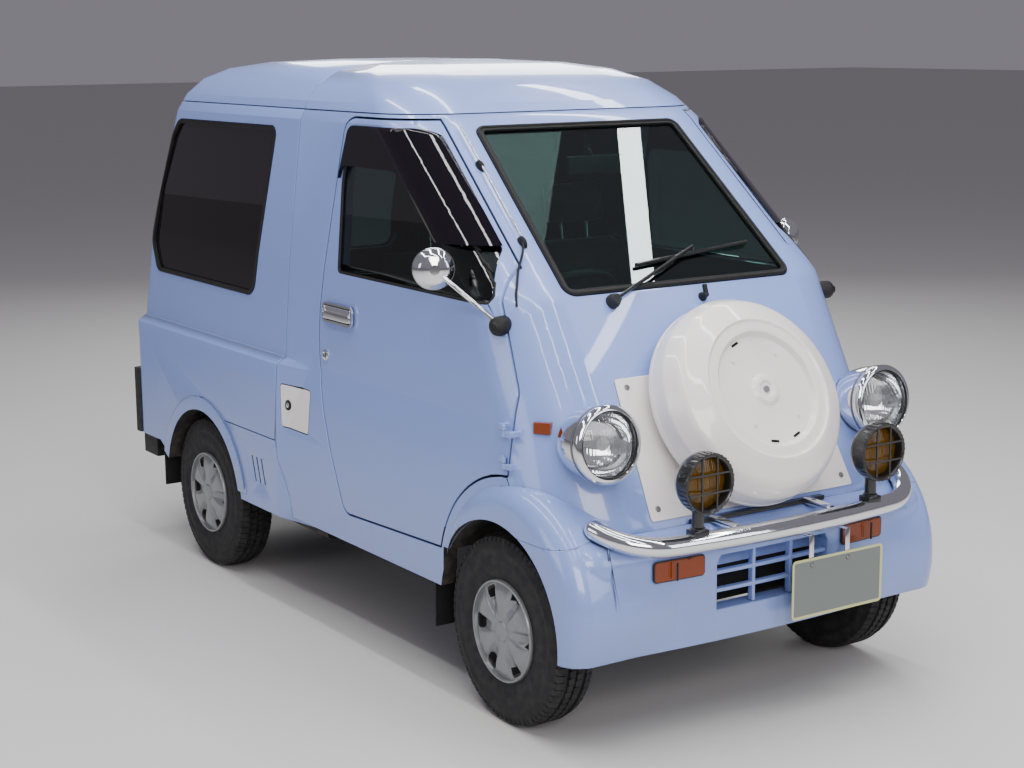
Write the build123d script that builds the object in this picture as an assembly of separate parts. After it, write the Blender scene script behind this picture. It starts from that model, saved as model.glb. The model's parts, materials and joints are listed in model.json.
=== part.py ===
from build123d import *
import math
import os
from collections import namedtuple

os.makedirs("parts", exist_ok=True)

# A kei micro van with a closed load body, in millimetres.
# X points forward, Y to the vehicle's left, Z up; the origin is on the ground under its middle.
# The right-hand side is negative Y, and the steering wheel is on that side.

# Running gear
WHEELBASE = 1840
FRONT_AXLE_X = 970
REAR_AXLE_X = FRONT_AXLE_X - WHEELBASE
TRACK = 1110
WHEEL_Y = TRACK / 2
TYRE_R = 260
TYRE_WIDTH = 128
BEAD_R = 128
RIM_WIDTH = 104
HUB_BORE_R = 24
HUBCAP_R = 141
KINGPIN_Y = 455
AXLE_Z = TYRE_R

# Body
WALL = 45
DOOR_GAP = 6
SEAM = 3
SEAM_DEPTH = 6
FLARE_Y = 647
LOWER_Y = 638
SILL_Z = 318
LEDGE_Z = 800
LEDGE_RISE = 20
WAIST_Z = 1130
HEADER_Z = 1563
ROOF_SEAM_Z = 1594
TAIL_X = -1430
BODY_JOIN_X = -290
NOSE_SLOPE = 0.56
NOSE_BOTTOM_Z = 576

# Arches
FRONT_ARCH = (FRONT_AXLE_X + 5, 275)
REAR_ARCH = (REAR_AXLE_X + 15, 265)
ARCH_R = 290
STEER_CLEAR_R = 312
STEER_CLEAR_Y = 545
LINER_Y = 330
LINER = 6
PONTOON = (1015, 350)
PONTOON_R = 328
PONTOON_ROUND = 70
REAR_FLARE_R = 338

# Bumper apron
APRON_X = 1350
APRON_BOW = 29
APRON_CORNER_R = 130
APRON_TOP_Z = 562
APRON_BOTTOM_Z = 255
APRON_ROUND = 70
APRON_WALL = 30
GRILLE_HALF = 195
GRILLE_Z = (340, 486)

# Plan sections of the body from the sill to the crown of the roof
Section = namedtuple("Section", "z nose_x side_y corner tail_x tail_corner")
NOSE_X = 1272


def nose_at(z):
    """How far forward the sloping nose reaches at a height."""
    return NOSE_X - NOSE_SLOPE * (z - NOSE_BOTTOM_Z)


BODY = [
    Section(SILL_Z, NOSE_X, 632, 275, TAIL_X, 60),
    Section(NOSE_BOTTOM_Z, NOSE_X, 628, 272, TAIL_X, 60),
    Section(690, nose_at(690), 619, 255, TAIL_X, 60),
    Section(815, nose_at(815), 605, 220, TAIL_X, 60),
    Section(WAIST_Z, nose_at(WAIST_Z), 593, 190, -1374, 70),
    Section(HEADER_Z, 450, 558, 190, -1200, 80),
    Section(1620, 375, 535, 190, -1170, 85),
    Section(1670, 285, 495, 190, -1125, 95),
    Section(1705, 170, 430, 180, -1060, 105),
    Section(1725, 30, 330, 150, -960, 110),
    Section(1735, -200, 180, 100, -760, 100),
]
ROOF_DROP = 26
FIT = 0.4


def block(x0, x1, y0, y1, z0, z1):
    """A box between two corners."""
    size = Box(x1 - x0, y1 - y0, z1 - z0)
    return Pos((x0 + x1) / 2, (y0 + y1) / 2, (z0 + z1) / 2) * size


def both(piece):
    """A piece and its mirror image on the other side."""
    return Part(children=[]) + piece + mirror(piece, Plane.XZ)


def side_outline(points, radii=0):
    """A closed outline in the side view from (x, z) points with rounded corners."""
    return make_face(FilletPolyline(*[(x, 0, z) for x, z in points], radius=radii, close=True))


def across(face, y0, y1):
    """Extrude a side-view outline across the vehicle, from y0 to y1."""
    return Pos(0, y0, 0) * extrude(face, amount=y1 - y0, dir=(0, 1, 0))


def drum(centre, radius, y0, y1):
    """A cylinder across the vehicle about a point of the side view."""
    x, z = centre
    return Pos(x, (y0 + y1) / 2, z) * Rot(90, 0, 0) * Cylinder(radius, y1 - y0)


def turned(profile, radii=0):
    """Revolve a closed outline of (radius, height) points about the Z axis."""
    face = make_face(FilletPolyline(*[(r, 0, h) for r, h in profile], radius=radii, close=True))
    return revolve(face, Axis.Z)


def aimed(piece, origin, direction):
    """Place a piece modelled along +Z so that it points along a direction."""
    return Plane(origin=origin, z_dir=direction).location * piece


def rod(start, end, radius):
    """A round bar between two points."""
    a = Vector(*start)
    b = Vector(*end)
    bar = Pos(0, 0, (b - a).length / 2) * Cylinder(radius, (b - a).length)
    return aimed(bar, a, b - a)


def plan_face(section, inset=0, drop=0):
    """The body's outline at one height, with its own front and rear corner radii."""
    nose = section.nose_x - inset
    side = section.side_y - inset
    tail = section.tail_x + inset
    front = section.corner - inset
    rear = max(section.tail_corner - inset, 8)
    z = section.z - drop
    bend = 1 - math.sqrt(0.5)
    edges = []
    for s in (1, -1):
        edges.append(ThreePointArc(
            (nose, s * (side - front), z),
            (nose - front * bend, s * (side - front * bend), z),
            (nose - front, s * side, z)))
        edges.append(Line((nose - front, s * side, z), (tail + rear, s * side, z)))
        edges.append(ThreePointArc(
            (tail + rear, s * side, z),
            (tail + rear * bend, s * (side - rear * bend), z),
            (tail, s * (side - rear), z)))
    edges.append(Line((nose, front - side, z), (nose, side - front, z)))
    edges.append(Line((tail, rear - side, z), (tail, side - rear, z)))
    return make_face(edges)


def body_form(inset=0, roof_drop=0, foot=0):
    """The closed form of the cab and load body, or the same form set inwards."""
    faces = []
    for section in BODY:
        drop = roof_drop if section.z > HEADER_Z else 0
        if section.z == SILL_Z:
            drop = foot
        faces.append(plan_face(section, inset, drop))
    return loft(faces, ruled=True)


def lower_plan(side_y, z, inset):
    """The wider lower load body: it fades into the cab side ahead of the join."""
    tail = TAIL_X + inset
    corner = 60
    bend = 1 - math.sqrt(0.5)
    fade_x = BODY_JOIN_X + 215
    edges = []
    for s in (1, -1):
        edges.append(Line((fade_x, s * 590, z), (fade_x - 2, s * 600, z)))
        edges.append(Line((fade_x - 2, s * 600, z), (BODY_JOIN_X, s * side_y, z)))
        edges.append(Line((BODY_JOIN_X, s * side_y, z), (tail + corner, s * side_y, z)))
        edges.append(ThreePointArc(
            (tail + corner, s * side_y, z),
            (tail + corner * bend, s * (side_y - corner * bend), z),
            (tail, s * (side_y - corner), z)))
    edges.append(Line((fade_x, -590, z), (fade_x, 590, z)))
    edges.append(Line((tail, corner - side_y, z), (tail, side_y - corner, z)))
    return make_face(edges)


def lower_form(inset=0):
    """The lower load body below its waist ledge."""
    top = LEDGE_Z + LEDGE_RISE
    return loft([
        lower_plan(LOWER_Y - inset, SILL_Z - 16 - inset, inset),
        lower_plan(LOWER_Y - inset, LEDGE_Z - inset, inset),
        lower_plan(606 - inset, top - inset, inset),
    ], ruled=True)


def inside_form(inset):
    """The space inside the walls, cab and load body in one."""
    lower = lower_form(inset) & block(TAIL_X, BODY_JOIN_X - 40, -LOWER_Y, LOWER_Y, 0, LEDGE_Z + 100)
    return body_form(inset, ROOF_DROP, 40) + lower


OUTER = body_form() + lower_form()
NEAR = body_form(-FIT) + lower_form(-FIT)
CABIN = inside_form(WALL + FIT)
SKIN = OUTER - inside_form(WALL)
SCORE = OUTER - body_form(SEAM_DEPTH, SEAM_DEPTH, 20) - lower_form(SEAM_DEPTH)
GLASS = 5
GLASS_SET = 8
GLAZING = body_form(GLASS_SET, GLASS_SET) - body_form(GLASS_SET + GLASS, GLASS_SET + GLASS)

FAR = 900
BODY_TOP = 1800


JOIN = [(-214, ROOF_SEAM_Z), (-278, 807), (-302, 552), (-288, 489), (-222, 371), (-200, 300), (-200, 0)]


def join_line(offset):
    """Side-view points of the seam between cab and load body, moved along X."""
    return [(JOIN[0][0] + offset, BODY_TOP)] + [(x + offset, z) for x, z in JOIN]


def region_ahead(offset=0):
    """Everything ahead of the seam between cab and load body."""
    line = join_line(offset)
    return across(side_outline(line + [(2000, 0), (2000, BODY_TOP)]), -FAR, FAR)


# Doors
DOOR_REAR = [(137, 408), (-78, 850), (70, 1577)]
DOOR_FRONT = [(500, 1577), (880, 1240), (848, 1205), (985, 900)]
DOOR_FOOT_Z = 431
DOOR_LEAD_X = 995
ARCH_GAP = 12
PILLAR_TURN = 23
HINGE_X = 990
HINGE_Y = 621
HINGE_R = 6
HINGE_HEIGHTS = (722, 808)
HINGE_HALF = 16
HINGE_LEAF = 28
DOOR_SWEEP_R = 188
RUNNING_GAP = 0.3
SEAL = 14
DOOR_GLASS = [(62, 1122), (62, 1400), (110, 1549), (432, 1549), (792, 1252), (872, 1118)]
DOOR_GLASS_ROUND = [15, 200, 30, 150, 60, 15]
HANDLE = (-2, 158, 980, 1018)
PILLAR_FRAME = 20
VISOR_DROP = 118
VISOR_FOOT_Z = 1262
VISOR_RISE = 11
VISOR_THICK = 3
HANDLE_RISE = 11


def pillar_side(shift):
    """The half space outboard of the windscreen pillar's door edge, on the right."""
    foot = BODY[4]
    head = BODY[5]
    turn = math.radians(PILLAR_TURN)
    ends = []
    for s in (foot, head):
        x = s.nose_x - s.corner * (1 - math.cos(turn))
        y = s.side_y - s.corner * (1 - math.sin(turn))
        ends.append(Vector(x, -y, s.z))
    along = (ends[1] - ends[0]).normalized()
    tangent = Vector(-math.sin(turn), -math.cos(turn), 0)
    normal = (tangent - along * tangent.dot(along)).normalized()
    space = Pos(0, 0, 1000) * Box(4000, 4000, 2000)
    return aimed(space, ends[0] + normal * shift, normal)


def door_outline():
    """The door in the side view; its lower front edge follows the front wing."""
    arc_r = PONTOON_R + ARCH_GAP
    x, z = PONTOON
    lead_z = z + math.sqrt(arc_r ** 2 - (DOOR_LEAD_X - x) ** 2)
    foot_x = x - math.sqrt(arc_r ** 2 - (DOOR_FOOT_Z - z) ** 2)
    middle = (x - arc_r * math.sqrt(0.5), 0, z + arc_r * math.sqrt(0.5))
    points = [(foot_x, DOOR_FOOT_Z)] + DOOR_REAR + DOOR_FRONT + [(DOOR_LEAD_X, lead_z)]
    edge = FilletPolyline(*[(x, 0, z) for x, z in points], radius=[50, 600, 60, 20, 5, 10, 60])
    arc = ThreePointArc((DOOR_LEAD_X, 0, lead_z), middle, (foot_x, 0, DOOR_FOOT_Z))
    return make_face([edge, arc])


DOOR_FACE = door_outline()
DOOR_SOLID = across(DOOR_FACE, -FAR, -400) & pillar_side(DOOR_GAP / 2)
DOOR_HOLE = across(offset(DOOR_FACE, DOOR_GAP, kind=Kind.ARC), -FAR, -400) & pillar_side(-DOOR_GAP / 2)

# Windscreen, in its own plane: across the vehicle and up the slope
SCREEN_RISE = HEADER_Z - WAIST_Z
SCREEN_RUN = BODY[4].nose_x - BODY[5].nose_x
SCREEN_LENGTH = math.hypot(SCREEN_RISE, SCREEN_RUN)
SCREEN_NORMAL = (SCREEN_RISE / SCREEN_LENGTH, 0, SCREEN_RUN / SCREEN_LENGTH)
SCREEN_PLANE = Plane(origin=(BODY[4].nose_x, 0, WAIST_Z), x_dir=(0, 1, 0), z_dir=SCREEN_NORMAL)
SCREEN_FOOT_HALF = BODY[4].side_y - BODY[4].corner
SCREEN_HEAD_HALF = BODY[5].side_y - BODY[5].corner
SCREEN_ROUND = 42


def screen_solid(inset, low, high):
    """A slab in the windscreen's plane, set in from the flat front of the cab."""
    foot = SCREEN_FOOT_HALF - inset
    head = SCREEN_HEAD_HALF - inset
    points = [(-foot, inset), (foot, inset), (head, SCREEN_LENGTH - inset), (-head, SCREEN_LENGTH - inset)]
    face = make_face(FilletPolyline(*points, radius=SCREEN_ROUND - inset, close=True))
    slab = Pos(0, 0, low) * extrude(face, amount=high - low, dir=(0, 0, 1))
    return SCREEN_PLANE.location * slab


# Quarter windows and tailgate
QUARTER = [(-501, 987), (-430, 1290), (-372, 1537), (-1122, 1534), (-1176, 1478), (-1272, 1290),
           (-1322, 1090), (-1277, 991)]
QUARTER_ROUND = [60, 300, 28, 60, 60, 300, 60, 40]
GATE_HALF = 520
GATE_Z = (600, 1566)
GATE_AXIS = (-1188, 1566)
GATE_ROLL_R = 9
GATE_ROLL_GAP = 7
GATE_GLASS_Z = (1000, 1500)


# Fuel lid in the cab's rear pillar panel
LID = (-262, -98, 604, 738)
LID_GAP = 3
LID_ROUND = 10
LID_SET = 6
LID_LEDGE = 8
LID_POCKET_Y = 596
LID_RECESS = OUTER - body_form(LID_SET) - lower_form(LID_SET)
LID_SKIN = OUTER - body_form(LID_SET - RUNNING_GAP) - lower_form(LID_SET - RUNNING_GAP)


def lid_slab(grow, y0, y1):
    """The fuel lid's outline in the side view, as a slab."""
    x0, x1, z0, z1 = LID
    points = [(x0 - grow, z0 - grow), (x1 + grow, z0 - grow), (x1 + grow, z1 + grow), (x0 - grow, z1 + grow)]
    return across(side_outline(points, LID_ROUND + grow), y0, y1)


def panel_seams():
    """Shallow joint lines in the skin where panels meet."""
    ring = region_ahead(-SEAM / 2) - region_ahead(SEAM / 2)
    roof = block(-1500, 600, -FAR, FAR, ROOF_SEAM_Z - SEAM / 2, ROOF_SEAM_Z + SEAM / 2)
    return (ring + roof) & SCORE


SEAMS = panel_seams()
STEER_CLEAR = drum(FRONT_ARCH, STEER_CLEAR_R, -STEER_CLEAR_Y, -LINER_Y)
FRONT_CLEAR = both(drum(FRONT_ARCH, ARCH_R, -FAR, -LINER_Y) + STEER_CLEAR)
REAR_LINER_Y = 440
REAR_CLEAR = both(drum(REAR_ARCH, ARCH_R, -FAR, -REAR_LINER_Y))


# Smaller body sizes
SCREEN_SET = 6
SCREEN_SEAL = 20
ARCH_REAR_X = 700
FLOOR_Z = 432
FLOOR_THICK = 12
FLARE_FOOT_Z = 330
REAR_SILL_Z = 384
SKIRT_TOP_Z = 551
SLOT_X = (-395, -428, -461)
SLOT_Z = 428
SLOT_WIDTH = 9
SLOT_HEIGHT = 86
SLOT_SLANT = -16
APRON_BACK_X = 1080
APRON_SEAM_Y = 520

# Nose, spare wheel cover and grille
NOSE_LENGTH = math.hypot(1, NOSE_SLOPE)
NOSE_NORMAL = (1 / NOSE_LENGTH, 0, NOSE_SLOPE / NOSE_LENGTH)
NOSE_PLANE = Plane(origin=(NOSE_X, 0, NOSE_BOTTOM_Z), x_dir=(0, 1, 0), z_dir=NOSE_NORMAL)
NOSE_PANEL_S = (7, 398)
NOSE_PANEL_FOOT = 352
NOSE_PANEL_HEAD = 332
NOSE_PANEL_THICK = 4
COVER_Z = 807
COVER_R = 282
COVER_FOOT = 36
COVER_DEPTH = 197
COVER_RIDGE_R = 188
COVER_RECESS_R = 154
COVER_PLANE = Plane(origin=(nose_at(COVER_Z), 0, COVER_Z), x_dir=(0, 1, 0), z_dir=NOSE_NORMAL)
CARRIER_R = 70
GRILLE_ROWS = 3
GRILLE_BAR = 10
GRILLE_SET = 8
GRILLE_DEPTH = 18

# Lamps
HEADLAMP = (1249, 479, 800)
HEADLAMP_R = 102
HEADLAMP_TILT = 6
LENS_R = 86
FOG = (1404, 301, 711)
FOG_R = 78
FOG_RIM = 36
FOG_GUARD = 4
FOG_POST_R = 16
TURN_Y = (243, 397)
TURN_Z = (446, 498)
TURN_RISE = 9
MARKER = (1062, 545, 820)
MARKER_TURN = 55

# Bumper bar and plates
BAR_R = 26
BAR_X = 1411
BAR_BOW = 26
BAR_HALF = 375
BAR_Z = 549
BAR_END = (1262, 530, 589)
STAY_Y = 165
PLATE = (330, 165)
PLATE_THICK = 3
PLATE_X = 1398
FRONT_PLATE = (182, 364)
PLATE_STRIPS = (-95, 35)
REAR_PLATE_Z = 492

# Tail
END_X = FOG[0] + FOG_RIM
BUMPER_Z = (304, 380)
BUMPER_Y = 618
BUMPER_RETURN_X = -1305
BUMPER_THICK = 44
TAIL_LAMP_Y = (545, 643)
TAIL_LAMP_Z = (384, 622)
FLAP_THICK = 5
REAR_FLAP_Z = 222

# Mirrors, wiper
MIRROR_BASE = (905, 566, 1068)
MIRROR_HEADS = {"right": (727, 665, 1206), "left": (645, 665, 1196)}
MIRROR_R = 57
MIRROR_TURN = 25
WIPER_PIVOT = (972, -258, 1111)
WIPER_ELBOW = (861, 100, 1215)
BLADE_ENDS = ((892, -118, 1189), (856, 309, 1220))

# Cabin
SEAT_BOX = (60, 480, 520, 575)
SEAT_BOX_WALL = 6
SEATS = [(-425, 45), (90, 520)]
WHEEL_CENTRE = (600, -185, 1045)
WHEEL_AXIS = (-0.62, 0, 0.785)
STEERING_R = 178
STEERING_GRIP_R = 13
CARGO_FLOOR_Z = 570
STEP_X = -256

# Chassis
RAIL_Y = (262, 302)
RAIL_Z = (372, FLOOR_Z)
RAIL_X = (-1384, 1226)
ENGINE = (80, 440, 190, 235, 545)
AXLE_TUBE_R = 32
SPRING_Y = 282
SPRING_HALF = 390
SPRING_LEAF = 8
SPRING_RISE = 104
STUB_R = 23.95
STUB_PAST = 20
KNUCKLE_Z = (205, 318)
KNUCKLE_R = 26
STRUT_R = 16
STRUT_TOP_Z = 600
COIL_R = 23
COIL_WIRE_R = 7
COIL_TURNS = 6
COIL_PITCH = 22
TANK = (-430, -110, -560, -RAIL_Y[1], 250, 425)
PIPE_R = 18
FILLER_X = -185
FILLER_Y = 545
FILLER_BEND_Z = 640
MUFFLER = (-1340, -1040, 140, 320, 56)
EXHAUST_R = 17
EXHAUST_Z = 330

# Wheel cover
COVER_FACE = 60
COVER_PROUD = 7
SPOKES = 6


# Body shells
def cab_shell():
    """Pillars, sills, cowl, nose and rear pillar panels, with the door, screen and arch openings."""
    shell = (SKIN & region_ahead()) - block(-2000, 2000, -FAR, FAR, ROOF_SEAM_Z, BODY_TOP)
    shell -= SEAMS
    shell -= both(DOOR_HOLE)
    shell -= screen_solid(SCREEN_SET, -90, 60)
    shell -= FRONT_CLEAR
    shell -= block(ARCH_REAR_X, 1300, -FAR, FAR, 0, FLOOR_Z)
    shell -= lid_slab(LID_GAP, -FAR, -500) & LID_RECESS
    shell -= lid_slab(-LID_LEDGE, -FAR, -LID_POCKET_Y)
    shell -= filler_pipe(FIT)
    return shell + both(hinge_half(lower=True))


def hinge_half(lower):
    """Hinge barrels and leaves on the door's axis: the lower halves are the cab's, the upper the door's."""
    halves = []
    for z in HINGE_HEIGHTS:
        z0 = z - HINGE_HALF if lower else z + RUNNING_GAP
        z1 = z if lower else z + HINGE_HALF
        barrel = Pos(HINGE_X, -HINGE_Y, (z0 + z1) / 2) * Cylinder(HINGE_R, z1 - z0)
        side = 1 if lower else -1
        ends = sorted((HINGE_X, HINGE_X + side * HINGE_LEAF))
        feet = sorted((HINGE_X + side * HINGE_LEAF / 2, HINGE_X + side * HINGE_LEAF))
        leaf = block(*ends, -HINGE_Y, -HINGE_Y + HINGE_R - FIT, z0, z1)
        foot = block(*feet, -HINGE_Y, -HINGE_Y + WALL, z0, z1)
        halves.append(barrel + leaf + foot)
    return halves[0] + halves[1]


def cargo_shell():
    """The load body's sides, tail and wheel arch flares, with its window and tailgate openings."""
    shell = SKIN - region_ahead()
    shell -= block(-2000, 2000, -FAR, FAR, ROOF_SEAM_Z, BODY_TOP)
    shell -= SEAMS
    shell -= both(across(side_outline(QUARTER, QUARTER_ROUND), -FAR, -400))
    shell -= block(TAIL_X - 60, -1000, -GATE_HALF - DOOR_GAP, GATE_HALF + DOOR_GAP,
                   GATE_Z[0] - DOOR_GAP, GATE_Z[1])
    shell -= drum(GATE_AXIS, GATE_ROLL_R + GATE_ROLL_GAP, -GATE_HALF - DOOR_GAP, GATE_HALF + DOOR_GAP)
    shell -= skirt_zone()
    shell += both(rear_flare())
    shell -= REAR_CLEAR
    return shell - departure_cut()


def rear_flare():
    """A rounded lip round the right rear arch."""
    lip = drum(REAR_ARCH, REAR_FLARE_R, -FLARE_Y, -LOWER_Y + 30)
    rim = lip.edges().filter_by(GeomType.CIRCLE).sort_by(Axis.Y)[0]
    lip = fillet(rim, FLARE_Y - LOWER_Y - 1)
    return lip - block(-2000, 0, -FAR, 0, -FAR, FLARE_FOOT_Z)


def departure_cut():
    """The body's lower edge behind the rear wheel rises to the bumper."""
    points = [(-1073, SILL_Z - 20), (-1224, REAR_SILL_Z), (-1600, REAR_SILL_Z), (-1600, 0), (-1073, 0)]
    return across(side_outline(points), -FAR, FAR)


def skirt_zone(gap=0):
    """The lower side panel's region, between the rear wheel and the cab."""
    zone = block(REAR_ARCH[0], 0, -FAR, FAR, 0, SKIRT_TOP_Z)
    return zone - region_ahead() - drum(REAR_ARCH, REAR_FLARE_R + gap, -FAR, FAR)


def skirt_panels():
    """Lower side panels ahead of the rear wheels, each with three slanted air slots."""
    panel = (SKIN & skirt_zone(FIT)) - SEAMS
    panel -= block(-1000, 0, -FAR, FAR, SKIRT_TOP_Z - SEAM, SKIRT_TOP_Z) & SCORE
    for x in SLOT_X:
        slot = Box(SLOT_WIDTH, FAR * 2, SLOT_HEIGHT)
        panel -= Pos(x, 0, SLOT_Z) * Rot(0, SLOT_SLANT, 0) * slot
    return panel


def roof_panel():
    """The crowned roof above the header seam."""
    return (SKIN & block(-2000, 2000, -FAR, FAR, ROOF_SEAM_Z, BODY_TOP)) - SEAMS


# Front wings, apron and nose
def apron_form():
    """The bumper apron as a closed form: a bowed front with rounded corners and top edge."""
    half = FLARE_Y - APRON_CORNER_R
    corner_x = APRON_X - APRON_BOW
    back_x = corner_x - APRON_CORNER_R
    bend = APRON_CORNER_R * math.sqrt(0.5)
    z = APRON_BOTTOM_Z
    edges = [ThreePointArc((corner_x, -half, z), (APRON_X, 0, z), (corner_x, half, z))]
    for s in (1, -1):
        edges.append(ThreePointArc((corner_x, s * half, z), (back_x + bend, s * (half + bend), z),
                                   (back_x, s * FLARE_Y, z)))
        edges.append(Line((back_x, s * FLARE_Y, z), (APRON_BACK_X, s * FLARE_Y, z)))
    edges.append(Line((APRON_BACK_X, -FLARE_Y, z), (APRON_BACK_X, FLARE_Y, z)))
    form = extrude(make_face(edges), amount=APRON_TOP_Z - APRON_BOTTOM_Z, dir=(0, 0, 1))
    top = form.faces().sort_by(Axis.Z)[-1].edges().sort_by(Axis.X)[1:]
    return fillet(top, APRON_ROUND)


def pontoon():
    """The right front wing over the wheel, a drum with a rounded outer edge."""
    wing = drum(PONTOON, PONTOON_R, -FLARE_Y, -LINER_Y)
    rim = wing.edges().filter_by(GeomType.CIRCLE).sort_by(Axis.Y)[0]
    return fillet(rim, PONTOON_ROUND)


APRON_FORM = apron_form()


def front_form():
    """Wings and apron as one form, clear of the cab and of the steered wheels."""
    form = APRON_FORM + both(pontoon())
    form -= block(0, APRON_BACK_X, -FAR, FAR, -FAR, FLARE_FOOT_Z)
    form -= block(0, 2000, -FAR, FAR, -FAR, APRON_BOTTOM_Z)
    return form - NEAR - FRONT_CLEAR


def apron_zone():
    """What lies below the seam between the wings and the apron."""
    half = APRON_SEAM_Y
    points = [(-FAR, 0), (FAR, 0), (FAR, 500), (FLARE_Y, 545), (half, 566), (-half, 566),
              (-FLARE_Y, 545), (-FAR, 500)]
    face = make_face(Polyline(*[(APRON_BACK_X, y, z) for y, z in points], close=True))
    return extrude(face, amount=600, dir=(1, 0, 0))


FRONT_FORM = front_form()
APRON_ZONE = apron_zone()


def front_wings():
    """The rounded wings over the front wheels."""
    return FRONT_FORM - APRON_ZONE


def front_apron():
    """The apron below the bumper bar, hollow in the middle, with the grille's opening."""
    apron = FRONT_FORM & APRON_ZONE
    apron -= block(1000, APRON_X - APRON_BOW - APRON_WALL, -LINER_Y, LINER_Y, 0, APRON_TOP_Z - 12)
    return apron - grille_opening()


def grille_opening():
    """The grille's opening: its upper corners are cut on a slant."""
    half = GRILLE_HALF
    z0, z1 = GRILLE_Z
    points = [(-half, z0), (half, z0), (half, z1 - 22), (half - 12, z1), (-half + 12, z1), (-half, z1 - 22)]
    face = make_face(Polyline(*[(1200, y, z) for y, z in points], close=True))
    return extrude(face, amount=300, dir=(1, 0, 0))


def grille():
    """Body-coloured bars set back in the apron's opening, bowed as the apron is."""
    bars = Part(children=[])
    row = (GRILLE_Z[1] - GRILLE_Z[0]) / GRILLE_ROWS
    for i in range(1, GRILLE_ROWS):
        z = GRILLE_Z[0] + row * i
        bars += block(1200, 1400, -FAR, FAR, z - GRILLE_BAR / 2, z + GRILLE_BAR / 2)
    for y in (-GRILLE_HALF / 3, GRILLE_HALF / 3):
        bars += block(1200, 1400, y - GRILLE_BAR / 2, y + GRILLE_BAR / 2, 0, 900)
    outer = Pos(-GRILLE_SET, 0, 0) * APRON_FORM
    inner = Pos(-GRILLE_SET - GRILLE_DEPTH, 0, 0) * APRON_FORM
    return (bars & (outer - inner)) & grille_opening()


def nose_panel():
    """The white panel on the nose, a thin tapered plate."""
    points = [(-NOSE_PANEL_FOOT, NOSE_PANEL_S[0]), (NOSE_PANEL_FOOT, NOSE_PANEL_S[0]),
              (NOSE_PANEL_HEAD, NOSE_PANEL_S[1]), (-NOSE_PANEL_HEAD, NOSE_PANEL_S[1])]
    face = make_face(FilletPolyline(*points, radius=8, close=True))
    return NOSE_PLANE.location * extrude(face, amount=NOSE_PANEL_THICK, dir=(0, 0, 1))


def spare_cover():
    """The spare wheel's cover: a drum with a rounded shoulder, a ridge and a recessed face."""
    r = COVER_R
    h = COVER_DEPTH
    profile = [(0, COVER_FOOT), (r - 14, COVER_FOOT), (r, COVER_FOOT + 16), (r, h - 78), (r - 24, h - 30),
               (COVER_RIDGE_R + 6, h + 1), (COVER_RIDGE_R, h - 4), (COVER_RECESS_R + 6, h - 2),
               (COVER_RECESS_R - 4, h - 16), (46, h - 16), (34, h - 9), (24, h - 9), (18, h - 14),
               (0, h - 14)]
    radii = [0, 6, 8, 30, 50, 3, 2, 5, 4, 4, 3, 2, 2, 0]
    return COVER_PLANE.location * turned(profile, radii)


def spare_carrier():
    """The black carrier that holds the spare wheel off the nose, and its lower crossbar."""
    gap = COVER_FOOT - NOSE_PANEL_THICK
    post = Pos(0, 0, NOSE_PANEL_THICK + gap / 2) * Cylinder(CARRIER_R, gap)
    return COVER_PLANE.location * post + (block(1262, 1290, -230, 230, APRON_TOP_Z, APRON_TOP_Z + 12) - NEAR)


# Lamps, each modelled along +Z from its rim and aimed at its place
def at_headlamp(piece):
    """A piece and its mirror image on the headlamp's axis."""
    tilt = math.radians(HEADLAMP_TILT)
    x, y, z = HEADLAMP
    return aimed(piece, (x, -y, z), (math.cos(tilt), 0, math.sin(tilt)))


def headlamps():
    """Chrome bullet bowls with their rims, seated on the body's front corners."""
    r = HEADLAMP_R
    profile = [(0, -150), (46, -146), (84, -100), (r - 4, -30), (r - 4, -8), (r, -6), (r, 6),
               (r - 12, 16), (LENS_R, 12), (LENS_R, -14), (0, -14)]
    bowl = turned(profile, [0, 30, 50, 10, 0, 1, 4, 2, 0, 0, 0])
    return both(at_headlamp(bowl) - NEAR)


def lens(radius, rim, rise):
    """A domed lens from its rim plane, over a short cylindrical edge."""
    dome_r = (radius ** 2 + rise ** 2) / (2 * rise)
    middle = radius * 0.6
    height = rim + rise - dome_r + math.sqrt(dome_r ** 2 - middle ** 2)
    arc = ThreePointArc((radius, 0, rim), (middle, 0, height), (0, 0, rim + rise))
    rest = Polyline((0, 0, rim + rise), (0, 0, rim - 6), (radius, 0, rim - 6), (radius, 0, rim))
    return revolve(make_face([arc, rest]), Axis.Z)


def headlamp_lenses():
    """Clear domed lenses inside the rims."""
    return both(at_headlamp(lens(LENS_R - FIT, -8, 28)))


def at_fog(piece):
    """Place a piece modelled along +Z on the right fog lamp's axis."""
    return aimed(piece, (FOG[0], -FOG[1], FOG[2]), (1, 0, 0))


def fog_lamps():
    """Black round lamps on posts, each with a square guard over its lens."""
    profile = [(0, -34), (40, -34), (70, -20), (FOG_R, -6), (FOG_R, FOG_RIM), (FOG_R - 10, FOG_RIM),
               (FOG_R - 10, 4), (0, 4)]
    lamp = turned(profile, [0, 10, 8, 3, 2, 2, 0, 0])
    guard = Part(children=[])
    for i in (-1, 0, 1):
        shift = i * FOG_R / 2
        guard += Pos(0, shift, FOG_RIM - 2) * Box(FOG_R * 2 - 6, FOG_GUARD, 4)
        guard += Pos(shift, 0, FOG_RIM - 2) * Box(FOG_GUARD, FOG_R * 2 - 6, 4)
    guard = guard & (Pos(0, 0, FOG_RIM) * Cylinder(FOG_R - 4, 20))
    post_x = FOG[0] - 12
    foot_z = BAR_Z + BAR_R + 4
    post = rod((post_x, -FOG[1], foot_z), (post_x, -FOG[1], FOG[2] - FOG_R + 14), FOG_POST_R)
    foot = block(post_x - 18, post_x + 18, -FOG[1] - 22, -FOG[1] + 22, BAR_Z + 4, foot_z + 6)
    return both(at_fog(lamp + guard) + post + (foot - BAR_SLEEVE))


def fog_lenses():
    """Amber lenses behind the guards."""
    return both(at_fog(lens(FOG_R - 10 - FIT, 10, 14)))


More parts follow.
